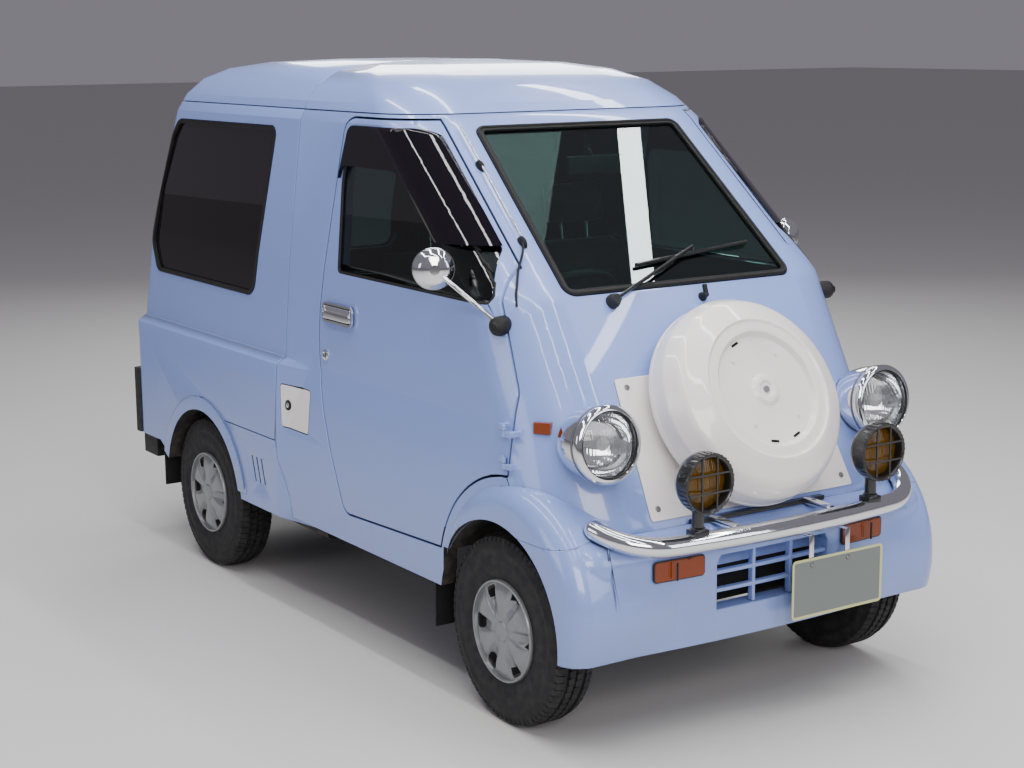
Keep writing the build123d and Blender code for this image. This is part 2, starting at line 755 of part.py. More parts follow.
def turn_lamps():
    """Orange turn lamps on the apron and small side markers on the body's corners."""
    lamp = block(1200, 1400, -TURN_Y[1], -TURN_Y[0], TURN_Z[0], TURN_Z[1])
    lamp = fillet(lamp.edges().filter_by(Axis.X), 8)
    lamp = (lamp & (Pos(TURN_RISE, 0, 0) * APRON_FORM)) - Pos(FIT, 0, 0) * APRON_FORM
    marker = Pos(MARKER[0], -MARKER[1], MARKER[2]) * Rot(0, 0, -MARKER_TURN) * Box(30, 46, 30)
    return both(lamp + (marker - NEAR))


# Bumper bar and what it carries
def bar_tube(radius):
    """The chrome bar: bowed across the front, bent back and up at its ends."""
    side_x = BAR_X - BAR_BOW
    middle = ThreePointArc((side_x, -BAR_HALF, BAR_Z), (BAR_X, 0, BAR_Z), (side_x, BAR_HALF, BAR_Z))
    lean = 2 * BAR_BOW / BAR_HALF
    left = TangentArc((side_x, BAR_HALF, BAR_Z), BAR_END, tangent=(-lean, 1, 0))
    right = TangentArc((side_x, -BAR_HALF, BAR_Z), (BAR_END[0], -BAR_END[1], BAR_END[2]),
                       tangent=(-lean, -1, 0))
    path = Wire([right, middle, left])
    section = Plane(origin=path @ 0, z_dir=path % 0).location * Circle(radius)
    tube = sweep(section, path=path)
    for end in (0, 1):
        tube += Pos(*(path @ end)) * Sphere(radius)
    return tube


BAR_SLEEVE = bar_tube(BAR_R + FIT)


def bumper_bar():
    """The bar and the two flat stays that carry it over the apron."""
    stays = Part(children=[])
    for y in (-STAY_Y, STAY_Y):
        stays += block(1250, BAR_X - 14, y - 14, y + 14, APRON_TOP_Z, APRON_TOP_Z + 6)
    return (bar_tube(BAR_R) + stays) - Pos(0, 0, FIT) * FRONT_FORM - NEAR - spare_carrier()


def number_plates():
    """Blank plates: the front one on two strips below the bar, the rear one on the tail."""
    w = PLATE[0] / 2
    h = PLATE[1] / 2
    y, z = FRONT_PLATE
    plates = block(PLATE_X, PLATE_X + PLATE_THICK, y - w, y + w, z - h, z + h)
    for shift in PLATE_STRIPS:
        strip_y = y + shift
        strip_z = GRILLE_Z[1] + 12
        plates += block(PLATE_X - 4, PLATE_X, strip_y - 8, strip_y + 8, z, strip_z + 10)
        plates += block(1300, PLATE_X, strip_y - 8, strip_y + 8, strip_z, strip_z + 10)
    plates -= Pos(FIT, 0, 0) * APRON_FORM
    return plates + block(TAIL_X - PLATE_THICK, TAIL_X, -w, w, REAR_PLATE_Z - h, REAR_PLATE_Z + h)


# Glass
def windscreen():
    return screen_solid(SCREEN_SET + SEAL / 2, -8, -3)


def window_seals():
    """Rubber seals round the windscreen and the quarter windows."""
    ring = screen_solid(SCREEN_SET + FIT, -14, 5) - screen_solid(SCREEN_SET + SCREEN_SEAL, -30, 20)
    ring -= screen_solid(SCREEN_SET + SEAL / 2 - FIT, -8 - FIT, -3 + FIT)
    face = side_outline(QUARTER, QUARTER_ROUND)
    outline = across(offset(face, -FIT, kind=Kind.ARC), -FAR, -400)
    seal = outline - across(offset(face, -SEAL, kind=Kind.ARC), -FAR, -400)
    slot = across(offset(face, -SEAL / 2 + FIT, kind=Kind.ARC), -FAR, -400)
    slot = slot & (body_form(GLASS_SET - FIT) - body_form(GLASS_SET + GLASS + FIT))
    return ring + both((seal & (body_form(-3) - body_form(GLASS_SET + 2 * GLASS))) - slot)


def quarter_glass():
    face = offset(side_outline(QUARTER, QUARTER_ROUND), -SEAL / 2, kind=Kind.ARC)
    return both(GLAZING & across(face, -FAR, -400))


# Doors
def door_right():
    """The right door, as thick as the cab's wall, with its window opening and hinge barrels."""
    opening = across(side_outline(DOOR_GLASS, DOOR_GLASS_ROUND), -FAR, -300) & pillar_side(PILLAR_FRAME)
    door = (SKIN & DOOR_SOLID) - opening
    return door + hinge_half(lower=False)


def door_glass_right():
    """The window glass, held by the door frame all round, and the smoked rain visor over its top."""
    face = side_outline(DOOR_GLASS, DOOR_GLASS_ROUND)
    glass = GLAZING & across(offset(face, -FIT, kind=Kind.ARC), -FAR, -300) & pillar_side(PILLAR_FRAME + FIT)
    rim = offset(face, 9, kind=Kind.ARC)
    crescent = across(rim, -FAR, -300) - across(Pos(-VISOR_DROP * 0.3, 0, -VISOR_DROP) * rim, -FAR, -300)
    crescent = crescent & block(40, 2000, -FAR, 0, VISOR_FOOT_Z, 2000) & pillar_side(PILLAR_FRAME)
    sheet = body_form(-VISOR_RISE) - body_form(VISOR_THICK - VISOR_RISE)
    foot = (body_form(-VISOR_RISE) - body_form(-FIT)) - across(offset(face, 3, kind=Kind.ARC), -FAR, -300)
    return glass + (crescent & sheet) + (crescent & foot)


def handle_slab():
    """The door handle's outline in the side view, as a slab."""
    x0, x1, z0, z1 = HANDLE
    return across(side_outline([(x0, z0), (x1, z0), (x1, z1), (x0, z1)], 9), -FAR, -400)


def mirror_right():
    """The round door mirror on its stalk, and the door handle."""
    return mirror_at(MIRROR_HEADS["right"])


def mirror_left():
    """The left mirror and handle, placed a little further back than the right one."""
    return mirror(mirror_at(MIRROR_HEADS["left"]), Plane.XZ)


def mirror_at(head):
    """Mirror and handle on the right door; the dome points forward and outward."""
    x, y, z = head
    turn = math.radians(MIRROR_TURN)
    profile = [(0, -12), (MIRROR_R - 3, -12), (MIRROR_R, -9), (MIRROR_R - 2, 2), (40, 20), (14, 27), (0, 27)]
    dome = aimed(turned(profile, [0, 1, 1, 6, 16, 4, 0]), (x, -y, z), (math.cos(turn), -math.sin(turn), 0))
    foot = (MIRROR_BASE[0], -MIRROR_BASE[1] - 4, MIRROR_BASE[2])
    stalk = rod(foot, (x, -y, z), 6)
    boss = aimed(Cylinder(19, 36), foot, (0.35, -0.94, 0))
    handle = handle_slab() & (body_form(-HANDLE_RISE) - body_form())
    return dome + ((stalk + boss) - body_form(-FIT)) + handle


# Tailgate and lid
def tailgate():
    """The tailgate below its hinge roll, with its window opening."""
    gate = SKIN & block(TAIL_X - 60, -1000, -GATE_HALF, GATE_HALF, GATE_Z[0], GATE_Z[1])
    gate -= gate_window(0)
    return gate + drum(GATE_AXIS, GATE_ROLL_R, -GATE_HALF + 40, GATE_HALF - 40)


def gate_window(inset):
    """The tailgate's window opening, narrower at its head."""
    z0 = GATE_GLASS_Z[0] + inset
    z1 = GATE_GLASS_Z[1] - inset
    foot = GATE_HALF - 80 - inset
    head = foot - 30
    points = [(-foot, z0), (foot, z0), (head, z1), (-head, z1)]
    face = make_face(FilletPolyline(*[(-1500, y, z) for y, z in points], radius=50 - inset, close=True))
    return extrude(face, amount=500, dir=(1, 0, 0))


def tailgate_glass():
    return GLAZING & gate_window(FIT)


def fuel_lid():
    """The lid over the filler: it follows the pillar panel's surface."""
    return LID_SKIN & lid_slab(0, -FAR, -500)


def tail_lamps():
    """Upright lamp units that wrap the load body's rear corners."""
    y0, y1 = TAIL_LAMP_Y
    unit = block(-END_X, -1388, -y1, -y0, *TAIL_LAMP_Z)
    unit = fillet(unit.edges().filter_by(Axis.Z).sort_by(Axis.Y)[:2], 14)
    return both(unit - NEAR)


def rear_bumper():
    """A low black bumper across the tail, with short returns round the corners."""
    bar = block(-END_X, -END_X + BUMPER_THICK, -BUMPER_Y, BUMPER_Y, *BUMPER_Z)
    bar += both(block(-END_X, BUMPER_RETURN_X, -BUMPER_Y, -BUMPER_Y + 28, *BUMPER_Z))
    return fillet(bar.edges().filter_by(Axis.Z).sort_by(Axis.X)[:2], 24)


def mud_flaps():
    """Rubber flaps behind all four wheels."""
    front = block(640, 640 + FLAP_THICK, -624, -512, 186, SILL_Z)
    rear = block(-1205, -1205 + FLAP_THICK, -634, -500, REAR_FLAP_Z, 420) & departure_cut()
    return both(front + rear)


# Wiper
def wiper():
    """The single wiper: pivot, arm and blade lying on the windscreen."""
    normal = Vector(*SCREEN_NORMAL)
    pivot = Vector(*WIPER_PIVOT)
    elbow = Vector(*WIPER_ELBOW) + normal * 16
    boss = aimed(Cylinder(13, 60), pivot, NOSE_NORMAL) - NEAR
    arm = rod(pivot + Vector(*NOSE_NORMAL) * 25, elbow, 5)
    a, b = (Vector(*end) + normal * 5 for end in BLADE_ENDS)
    return boss + arm + rod(a, b, 6) + rod((a + b) / 2, elbow, 4)


# Cabin
def floor_pan():
    """Cab floor, seat box, step and load floor, with liners over the wheels and a filler duct."""
    wall = SEAT_BOX_WALL
    x0, x1, y, z = SEAT_BOX
    pan = block(STEP_X - wall, 1228, -FAR, FAR, FLOOR_Z, FLOOR_Z + FLOOR_THICK)
    pan += block(x0, x1, -y, y, FLOOR_Z, z)
    pan -= block(x0 + wall, x1 - wall, -y + wall, y - wall, 0, z - wall)
    step = block(STEP_X - wall, STEP_X + wall, -FAR, FAR, FLOOR_Z, CARGO_FLOOR_Z + FLOOR_THICK)
    load = block(TAIL_X, STEP_X + wall, -FAR, FAR, CARGO_FLOOR_Z, CARGO_FLOOR_Z + FLOOR_THICK)
    front = drum(FRONT_ARCH, STEER_CLEAR_R + LINER, -590, -LINER_Y + LINER)
    front = front & block(0, 2000, -FAR, 0, FLOOR_Z, 900)
    x = FRONT_AXLE_X
    tower = block(x - 50, x + 50, -KINGPIN_Y - 50, -KINGPIN_Y + 50, 500, STRUT_TOP_Z + LINER)
    rear = drum(REAR_ARCH, ARCH_R + LINER, -600, -REAR_LINER_Y + LINER)
    rear = rear & block(-2000, 0, -FAR, 0, 334, 900)
    rear += block(REAR_ARCH[0] - 160, REAR_ARCH[0] + 160, -600, -REAR_LINER_Y + LINER, 500, CARGO_FLOOR_Z)
    pan += step + load + both(front + tower + rear)
    duct = block(FILLER_X - 31, FILLER_X + 31, -FAR, -FILLER_Y + 33, FLOOR_Z, 716)
    duct -= block(FILLER_X - 26, FILLER_X + 26, -FAR, -FILLER_Y + 28, 0, 711)
    pan += duct
    pan = pan & CABIN
    pan -= FRONT_CLEAR + REAR_CLEAR + strut_bore() + filler_pipe(FIT)
    return pan


def strut_bore():
    """Bores in the liner towers for the strut tops."""
    bore = Pos(FRONT_AXLE_X, -KINGPIN_Y, STRUT_TOP_Z - 100) * Cylinder(STRUT_R + FIT, 200)
    return both(bore)


def dashboard():
    """The dashboard under the windscreen and the steering column below its wheel."""
    points = [(720, 880), (720, 990), (770, 1075), (900, 1100), (1010, 1010), (1010, 880)]
    board = across(side_outline(points, [10, 30, 40, 10, 10, 10]), -540, 540) & CABIN
    board -= both(Pos(HINGE_X, -HINGE_Y, 990) * Cylinder(DOOR_SWEEP_R, 300))
    axis = Vector(*WHEEL_AXIS).normalized()
    top = Vector(*WHEEL_CENTRE) - axis * (46 + RUNNING_GAP)
    column = rod(top - axis * 740, top, 20) + rod(top - axis * 170, top - axis * 12, 42)
    return board + (column - block(0, 2000, -FAR, FAR, 0, FLOOR_Z + FLOOR_THICK))


def seats():
    """Two seats: cushions on the seat box and leaning backs with headrests."""
    pair = Part(children=[])
    for y0, y1 in SEATS:
        middle = (y0 + y1) / 2
        base = SEAT_BOX[3]
        cushion = fillet(block(140, 590, y0, y1, base, base + 115).edges(), 28)
        back = across(side_outline([(70, base), (210, base), (78, 1180), (-22, 1180)], 20), y0 + 6, y1 - 6)
        rest = side_outline([(-20, 1205), (55, 1205), (45, 1345), (-25, 1345)], 22)
        rest = across(rest, middle - 115, middle + 115)
        pair += cushion + back + rest
        for shift in (-50, 50):
            pair += rod((20, middle + shift, 1150), (12, middle + shift, 1225), 6)
    return pair


def steering_wheel():
    """The steering wheel with its hub and two spokes."""
    reach = STEERING_R - 4
    profile = [(-reach, -6), (-60, -26), (60, -26), (reach, -6), (reach, 5), (60, -12), (-60, -12),
               (-reach, 5)]
    spokes = make_face(Polyline(*[(-15, y, z) for y, z in profile], close=True))
    spokes = extrude(spokes, amount=30, dir=(1, 0, 0))
    wheel = Torus(STEERING_R, STEERING_GRIP_R) + spokes + Pos(0, 0, -24) * Cylinder(44, 44)
    return aimed(wheel, WHEEL_CENTRE, WHEEL_AXIS)


# Chassis
def chassis_frame():
    """Two rails with crossmembers, load floor posts, engine brackets and spring hangers."""
    y0, y1 = RAIL_Y
    z0, z1 = RAIL_Z
    frame = both(block(*RAIL_X, -y1, -y0, z0, z1))
    for x in (-1330, -1000, -470, 20, 520, 1190):
        frame += block(x - 20, x + 20, -y0, y0, z0 + 10, z1 - 10)
    for x in (150, 370):
        frame += both(block(x - 20, x + 20, -y0, -ENGINE[2], z0, z1 - 10))
    for x in (-1330, -870, -470):
        frame += both(block(x - 20, x + 20, -y1, -y0, z1, CARGO_FLOOR_Z))
    ends = (REAR_AXLE_X - SPRING_HALF - 40, REAR_AXLE_X + SPRING_HALF)
    for x in ends:
        frame += both(block(x, x + 40, -y1, -y0, 300, z0))
    bracket_x = -END_X + BUMPER_THICK
    return frame + both(block(bracket_x, bracket_x + 60, -y1, -y0, 312, z0 + 6))


def front_suspension():
    """Lower arms and upright struts with coil springs, which hold the steered knuckles."""
    z0, z1 = KNUCKLE_Z
    x = FRONT_AXLE_X
    foot = z1 + RUNNING_GAP
    strut = Pos(x, -KINGPIN_Y, (foot + STRUT_TOP_Z) / 2) * Cylinder(STRUT_R, STRUT_TOP_Z - foot)
    strut += Pos(x, -KINGPIN_Y, 386) * Cylinder(COIL_R + COIL_WIRE_R, 8)
    strut += Pos(x, -KINGPIN_Y, 455) * Cylinder(COIL_R, 140)
    for i in range(COIL_TURNS):
        strut += Pos(x, -KINGPIN_Y, 402 + i * COIL_PITCH) * Torus(COIL_R, COIL_WIRE_R)
    ball_z = z0 - RUNNING_GAP
    arm = Pos(x, -KINGPIN_Y, ball_z - 15) * Cylinder(20, 30)
    arm += rod((x, -RAIL_Y[1] + 10, 215), (x, -KINGPIN_Y, ball_z - 23), 13)
    arm += rod((x + 180, -RAIL_Y[1] + 10, 222), (x + 6, -KINGPIN_Y + 8, ball_z - 23), 10)
    arm += block(x - 24, x + 204, -RAIL_Y[1], -RAIL_Y[0], 198, RAIL_Z[0])
    return both(strut + arm)


def knuckle_right():
    """The steered knuckle: an upright on the kingpin axis and the wheel's stub axle."""
    z0, z1 = KNUCKLE_Z
    y = KINGPIN_Y
    upright = Pos(FRONT_AXLE_X, -y, (z0 + z1) / 2) * Cylinder(KNUCKLE_R, z1 - z0)
    arm = block(FRONT_AXLE_X - 110, FRONT_AXLE_X, -y - 9, -y + 9, AXLE_Z - 24, AXLE_Z - 4)
    stub = drum((FRONT_AXLE_X, AXLE_Z), STUB_R, -WHEEL_Y - STUB_PAST, -y)
    return upright + arm + stub + drum((FRONT_AXLE_X, AXLE_Z), 50, -y - 36, -y - 16)


def rear_axle():
    """The solid rear axle with its final drive, stubs, leaf springs and propeller shaft."""
    x = REAR_AXLE_X
    centre = (x, AXLE_Z)
    axle = drum(centre, AXLE_TUBE_R, -470, 470)
    axle += drum(centre, STUB_R, -WHEEL_Y - STUB_PAST, WHEEL_Y + STUB_PAST)
    axle += both(drum(centre, 60, -478, -462)) + Pos(x, 0, AXLE_Z) * Sphere(92)
    axle += rod((x + 60, 0, AXLE_Z), (ENGINE[0], 0, AXLE_Z), 24)
    for leaf, share in enumerate((1.0, 0.72, 0.46)):
        end = SPRING_HALF * share
        z = AXLE_Z - AXLE_TUBE_R - (leaf + 1) * SPRING_LEAF
        rise = SPRING_RISE * share ** 2
        low = ThreePointArc((x - end, 0, z + rise), (x, 0, z), (x + end, 0, z + rise))
        top = Pos(0, 0, SPRING_LEAF) * low
        edges = [low, top, Line(low @ 0, top @ 0), Line(low @ 1, top @ 1)]
        axle += both(across(make_face(edges), -SPRING_Y - 22, -SPRING_Y + 22))
    clamp = block(x - 36, x + 36, -SPRING_Y - 24, -SPRING_Y + 24, AXLE_Z - AXLE_TUBE_R - 30, AXLE_Z)
    return axle + both(clamp)


def engine():
    """The engine and gearbox as one plain block under the seats."""
    x0, x1, y, z0, z1 = ENGINE
    return block(x0, x1, -y, y, z0, z1)


def filler_pipe(grow=0):
    """The filler pipe from the tank up to the pocket behind the lid."""
    foot = (FILLER_X, -FILLER_Y, TANK[5] - 10)
    bend = (FILLER_X, -FILLER_Y, FILLER_BEND_Z)
    mouth = (FILLER_X, -LID_POCKET_Y - 8, FILLER_BEND_Z + 30)
    r = PIPE_R + grow
    return rod(foot, bend, r) + Pos(*bend) * Sphere(r) + rod(bend, mouth, r)


def fuel_tank():
    """The tank beside the right rail and its filler pipe."""
    x0, x1, y0, y1, z0, z1 = TANK
    tank = block(x0, x1, y0, y1, z0, z1)
    return fillet(tank.edges().filter_by(Axis.X), 26) + filler_pipe()


def exhaust():
    """Exhaust pipe over the rear axle, silencer and tail pipe."""
    x0, x1, y, z, r = MUFFLER
    pipe = rod((x1 - 10, y, EXHAUST_Z), (ENGINE[0], y, EXHAUST_Z), EXHAUST_R)
    tail = rod((-END_X + 30, y, z - 38), (x0 + 5, y, z - 38), EXHAUST_R)
    return pipe + rod((x0, y, z), (x1, y, z), r) + tail


# Wheels, modelled with the outer face towards +Z
def tyre():
    """A narrow tyre with rounded shoulders and three grooves."""
    w = TYRE_WIDTH / 2
    bead = RIM_WIDTH / 2 - FIT
    inner = BEAD_R + FIT
    profile = [(inner, -bead), (146, -bead), (196, -w), (240, -w + 3), (TYRE_R, -w + 16),
               (TYRE_R, w - 16), (240, w - 3), (196, w), (146, bead), (inner, bead)]
    carcass = turned(profile, [0, 4, 40, 12, 6, 6, 12, 40, 4, 0])
    for h in (-24, 0, 24):
        carcass -= Pos(0, 0, h) * (Cylinder(TYRE_R + 5, 6) - Cylinder(TYRE_R - 7, 6))
    return carcass


def rim():
    """The steel wheel with its six-spoked silver cover."""
    bead = RIM_WIDTH / 2
    lip = HUBCAP_R - 3
    well = BEAD_R - 8
    profile = [(HUB_BORE_R, 6), (HUB_BORE_R, -22), (60, -22), (70, -8), (well, -8), (well, -bead - 4),
               (lip, -bead - 4), (lip, -bead), (BEAD_R, -bead), (BEAD_R, bead), (lip, bead),
               (lip, bead + 4), (well, bead + 4), (well, 6)]
    face = COVER_FACE
    proud = face + COVER_PROUD
    cap = [(0, 57), (46, 57), (58, 55), (114, 55), (118, bead + 4), (HUBCAP_R, bead + 4),
           (HUBCAP_R, proud - 1), (134, proud), (124, face), (64, face), (54, proud), (36, proud), (30, face + 3),
           (0, face + 3)]
    cover = turned(cap, [0, 0, 0, 0, 0, 0, 3, 3, 3, 3, 3, 2, 2, 0])
    window = make_face(FilletPolyline((70, 0, 40), (114, -22, 40), (114, 22, 40), radius=5, close=True))
    for i in range(SPOKES):
        cover -= Rot(0, 0, i * 360 / SPOKES) * extrude(window, amount=40, dir=(0, 0, 1))
    return turned(profile) + cover


def wheel_at(piece, x, side):
    """Stand a wheel piece on its axle line, on the right (-1) or the left (1)."""
    return Pos(x, side * WHEEL_Y, AXLE_Z) * Rot(-90 * side, 0, 0) * piece


def write(name, shape):
    """Save one piece, without a wrapper round a single solid."""
    solids = shape.solids()
    export_step(solids[0] if len(solids) == 1 else Compound(children=solids), f"parts/{name}.step")


FIXED = [cab_shell, cargo_shell, roof_panel, skirt_panels, front_wings, front_apron, grille, nose_panel,
         spare_cover, spare_carrier, headlamps, headlamp_lenses, fog_lamps, fog_lenses, turn_lamps,
         bumper_bar, number_plates, windscreen, window_seals, quarter_glass, tail_lamps, rear_bumper,
         mud_flaps, wiper, floor_pan, dashboard, seats, chassis_frame, front_suspension, rear_axle,
         engine, exhaust, fuel_tank]
MOVING = [steering_wheel, tailgate, tailgate_glass, fuel_lid, mirror_right, mirror_left]
MIRRORED = {"knuckle": knuckle_right, "door": door_right, "door_glass": door_glass_right}


def main():
    for make in FIXED + MOVING:
        write(make.__name__, make())
    for name, make in MIRRORED.items():
        right = make()
        write(f"{name}_right", right)
        write(f"{name}_left", mirror(right, Plane.XZ))
    tyre_body = tyre()
    rim_body = rim()
    for end, x in (("front", FRONT_AXLE_X), ("rear", REAR_AXLE_X)):
        for hand, side in (("right", -1), ("left", 1)):
            write(f"tyre_{end}_{hand}", wheel_at(tyre_body, x, side))
            write(f"wheel_{end}_{hand}", wheel_at(rim_body, x, side))


main()
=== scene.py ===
# %% [markdown]
# # A small closed van, dressed for its portrait
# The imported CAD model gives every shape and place. Blender adds paint, chrome, glass, rubber and the small things
# that a plain solid leaves out: tread, lamp glass, seat covers, seals and screws.
# All lengths are typed in millimetres and turned to metres once, because that is how such parts are drawn.

import json
import math

import bmesh
import bpy
from mathutils import Matrix, Vector
from mathutils.bvhtree import BVHTree


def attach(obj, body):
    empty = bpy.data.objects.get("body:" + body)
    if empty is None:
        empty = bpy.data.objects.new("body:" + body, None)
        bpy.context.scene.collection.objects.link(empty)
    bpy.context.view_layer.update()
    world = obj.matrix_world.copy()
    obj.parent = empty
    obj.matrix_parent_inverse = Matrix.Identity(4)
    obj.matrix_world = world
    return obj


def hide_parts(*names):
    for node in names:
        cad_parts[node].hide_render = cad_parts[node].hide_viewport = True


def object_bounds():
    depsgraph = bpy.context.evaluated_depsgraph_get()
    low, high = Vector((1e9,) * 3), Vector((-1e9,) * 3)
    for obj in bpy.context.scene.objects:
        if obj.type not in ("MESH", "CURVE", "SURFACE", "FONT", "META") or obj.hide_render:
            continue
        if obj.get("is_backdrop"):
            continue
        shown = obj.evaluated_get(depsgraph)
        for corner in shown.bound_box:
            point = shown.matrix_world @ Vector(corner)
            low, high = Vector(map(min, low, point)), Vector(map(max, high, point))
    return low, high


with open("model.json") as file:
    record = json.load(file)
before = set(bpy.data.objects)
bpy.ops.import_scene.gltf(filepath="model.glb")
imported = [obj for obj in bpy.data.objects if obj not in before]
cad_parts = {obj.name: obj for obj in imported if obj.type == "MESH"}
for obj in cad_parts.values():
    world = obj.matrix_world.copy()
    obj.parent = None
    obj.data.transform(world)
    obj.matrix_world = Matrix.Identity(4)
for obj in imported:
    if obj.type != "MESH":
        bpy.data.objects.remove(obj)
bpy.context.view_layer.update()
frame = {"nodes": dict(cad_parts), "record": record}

# %% [markdown]
# ## The camera comes first
# A render can only be compared with a photograph from the same place with the same lens. The long lens, the standing
# height and the slight roll were found from the wheels and the body's corners.

# %% Place the camera
MM = 0.001


def mm(*values):
    """A point typed in millimetres."""
    return Vector(values) * MM


def put(item, **values):
    """Set some attributes of an item and give it back."""
    for key, value in values.items():
        setattr(item, key, value)
    return item


def linked(name, data):
    """A new object in the scene."""
    obj = bpy.data.objects.new(name, data)
    bpy.context.collection.objects.link(obj)
    return obj


def turn_by(degrees, axis):
    """A rotation about one axis."""
    return Matrix.Rotation(math.radians(degrees), 4, axis)


EYE = mm(4864, -3189, 1825)
YAW = math.radians(146.18)
PITCH = math.radians(-10.88)
ROLL = math.radians(-0.395)
SENSOR_MM, FOCAL_PX, PICTURE_PX = 36, 1838, 1024
look = Vector((math.cos(YAW) * math.cos(PITCH), math.sin(YAW) * math.cos(PITCH), math.sin(PITCH)))
lens = put(bpy.data.cameras.new("portrait_lens"), sensor_width=SENSOR_MM, lens=SENSOR_MM * FOCAL_PX / PICTURE_PX)
camera = linked("portrait_camera", lens)
turn = look.to_track_quat("-Z", "Y").to_matrix().to_4x4() @ Matrix.Rotation(ROLL, 4, "Z")
camera.matrix_world = Matrix.Translation(EYE) @ turn
bpy.context.scene.camera = camera
print("lens", round(lens.lens, 1), "mm")

# %% [markdown]
# ## Small functions for colours and nodes
# Designers write colours as sRGB hex values, while the shader wants linear light, so one function converts them.
# Others add a node or a usual group of nodes, and each material below is a short list.


# %% Colour and node helpers
def linear(code):
    """Turn an sRGB hex colour to the linear values that a shader wants."""
    values = [int(code[i:i + 2], 16) / 255 for i in (1, 3, 5)]
    return [v / 12.92 if v <= 0.04045 else ((v + 0.055) / 1.055) ** 2.4 for v in values] + [1.0]


def add(tree, kind, sockets=None, **settings):
    """Add one node; a socket takes a plain value, or (node, output) as a link."""
    node = put(tree.nodes.new(kind), **settings)
    for name, value in (sockets or {}).items():
        if isinstance(value, tuple) and isinstance(value[0], bpy.types.Node):
            tree.links.new(value[0].outputs[value[1]], node.inputs[name])
        else:
            node.inputs[name].default_value = value
    return node


def finish(name, **sockets):
    """A new material with its tree, shader and object coordinates."""
    material = put(bpy.data.materials.new(name), use_nodes=True)
    tree = material.node_tree
    shader = tree.nodes["Principled BSDF"]
    for key, value in sockets.items():
        shader.inputs[key.replace("_", " ")].default_value = value
    place = add(tree, "ShaderNodeTexCoord")
    return material, tree, shader, (place, "Object")


def cloud(tree, place, size_mm, detail):
    """Cloudy noise of a given size."""
    return add(tree, "ShaderNodeTexNoise", {"Vector": place, "Scale": 1 / (size_mm * MM), "Detail": detail})


def ramp(tree, source, low, high, to_low, to_high):
    """Stretch the range low to high of a value to another range."""
    return add(tree, "ShaderNodeMapRange", {"Value": source, "From Min": low, "From Max": high, "To Min": to_low,
                                            "To Max": to_high})


def blend(tree, factor, first, second, **settings):
    """Mix two colours."""
    return add(tree, "ShaderNodeMix", {"Factor": factor, "A": first, "B": second}, data_type="RGBA", **settings)


def relief(tree, shader, height, strength, depth_mm):
    """Let a pattern raise the surface."""
    bump = add(tree, "ShaderNodeBump", {"Height": height, "Strength": strength, "Distance": depth_mm * MM})
    tree.links.new(bump.outputs["Normal"], shader.inputs["Normal"])


def colour_from(tree, shader, node):
    """Take the shader's base colour from a node."""
    tree.links.new(node.outputs["Result"], shader.inputs["Base Color"])


# %% [markdown]
# ## Car enamel
# Factory enamel is a sprayed solid colour under a polished top. The spray leaves a faint ripple, called orange peel,
# about 3 mm long. A thin grey road film gathers low on the sides. Shade in every seam is painted: an ambient occlusion
# node finds the seams within 9 mm and darkens the colour there towards near black.


# %% Enamel paint
def enamel(name, colour, film, roughness=0.28):
    """Sprayed solid enamel with a polished top, a fine ripple, a faint road film low down and painted shade in its
    seams.
    """
    material, tree, shader, place = finish(name, Roughness=roughness, Coat_Weight=0.7, Coat_Roughness=0.03)
    relief(tree, shader, (cloud(tree, place, 3.2, 1.0), "Fac"), 0.012, 0.4)
    parts = add(tree, "ShaderNodeSeparateXYZ", {"Vector": place})
    height = ramp(tree, (parts, "Z"), 0.62, 0.28, 0.0, 0.35)
    patches = cloud(tree, place, 90, 5.0)
    dust = add(tree, "ShaderNodeMath", {0: (height, "Result"), 1: (patches, "Fac")}, operation="MULTIPLY")
    tint = blend(tree, (dust, "Value"), linear(colour), linear(film))
    # Painted shade: ambient occlusion within 9 mm darkens the colour towards near black in seams, gaps and corners.
    painted_seam_shade_ao = add(tree, "ShaderNodeAmbientOcclusion", {"Distance": 9 * MM}, samples=6)
    painted_seam_shade = ramp(tree, (painted_seam_shade_ao, "AO"), 0.30, 0.62, 0.92, 0.0)
    colour_from(tree, shader, blend(tree, (painted_seam_shade, "Result"), (tint, "Result"), linear("#17181B")))
    return material


enamel_blue = enamel("pastel_blue_enamel", "#8299D8", "#7C86A0")
enamel_white = enamel("warm_white_enamel", "#EBE7E4", "#B9B5AB")
enamel_black = enamel("satin_black_enamel", "#0C0D0E", "#3A3834", roughness=0.4)

# %% [markdown]
# ## Bright metal and silver paint
# The bumper bar, lamps and mirrors are chromed steel: a mirror with a slight blue cast and a trace of haze. The wheel
# covers are plastic sprayed silver, so their shine is broader, with fine flakes.


# %% Metals
def bright_metal(name, colour, roughness, haze):
    """Plated or polished metal with soft wiping marks that vary its shine."""
    material, tree, shader, place = finish(name, Metallic=1.0, Base_Color=linear(colour))
    span = ramp(tree, (cloud(tree, place, 25, 6.0), "Fac"), 0.35, 0.75, roughness, roughness + haze)
    tree.links.new(span.outputs["Result"], shader.inputs["Roughness"])
    return material


chrome_plate = bright_metal("chrome_plate", "#E9EBEE", 0.05, 0.05)
mirror_glass = bright_metal("silvered_mirror_glass", "#DDE2E4", 0.01, 0.01)
raw_steel = bright_metal("bare_steel", "#8B8B88", 0.4, 0.2)


def silver_paint(name, colour, dirt_colour):
    """Silver paint on moulded plastic, with flakes coarse enough to show."""
    material, tree, shader, place = finish(name, Metallic=0.55, Roughness=0.36, Coat_Weight=0.25)
    flake = add(tree, "ShaderNodeTexVoronoi", {"Vector": place, "Scale": 1 / (1.2 * MM)})
    glint = ramp(tree, (flake, "Distance"), 0.0, 1.0, 0.85, 1.0)
    dirt = ramp(tree, (cloud(tree, place, 35, 4.0), "Fac"), 0.5, 0.8, 0.0, 0.3)
    tint = blend(tree, (dirt, "Result"), linear(colour), linear(dirt_colour))
    colour_from(tree, shader, blend(tree, 1.0, (tint, "Result"), (glint, "Result"), blend_type="MULTIPLY"))
    return material


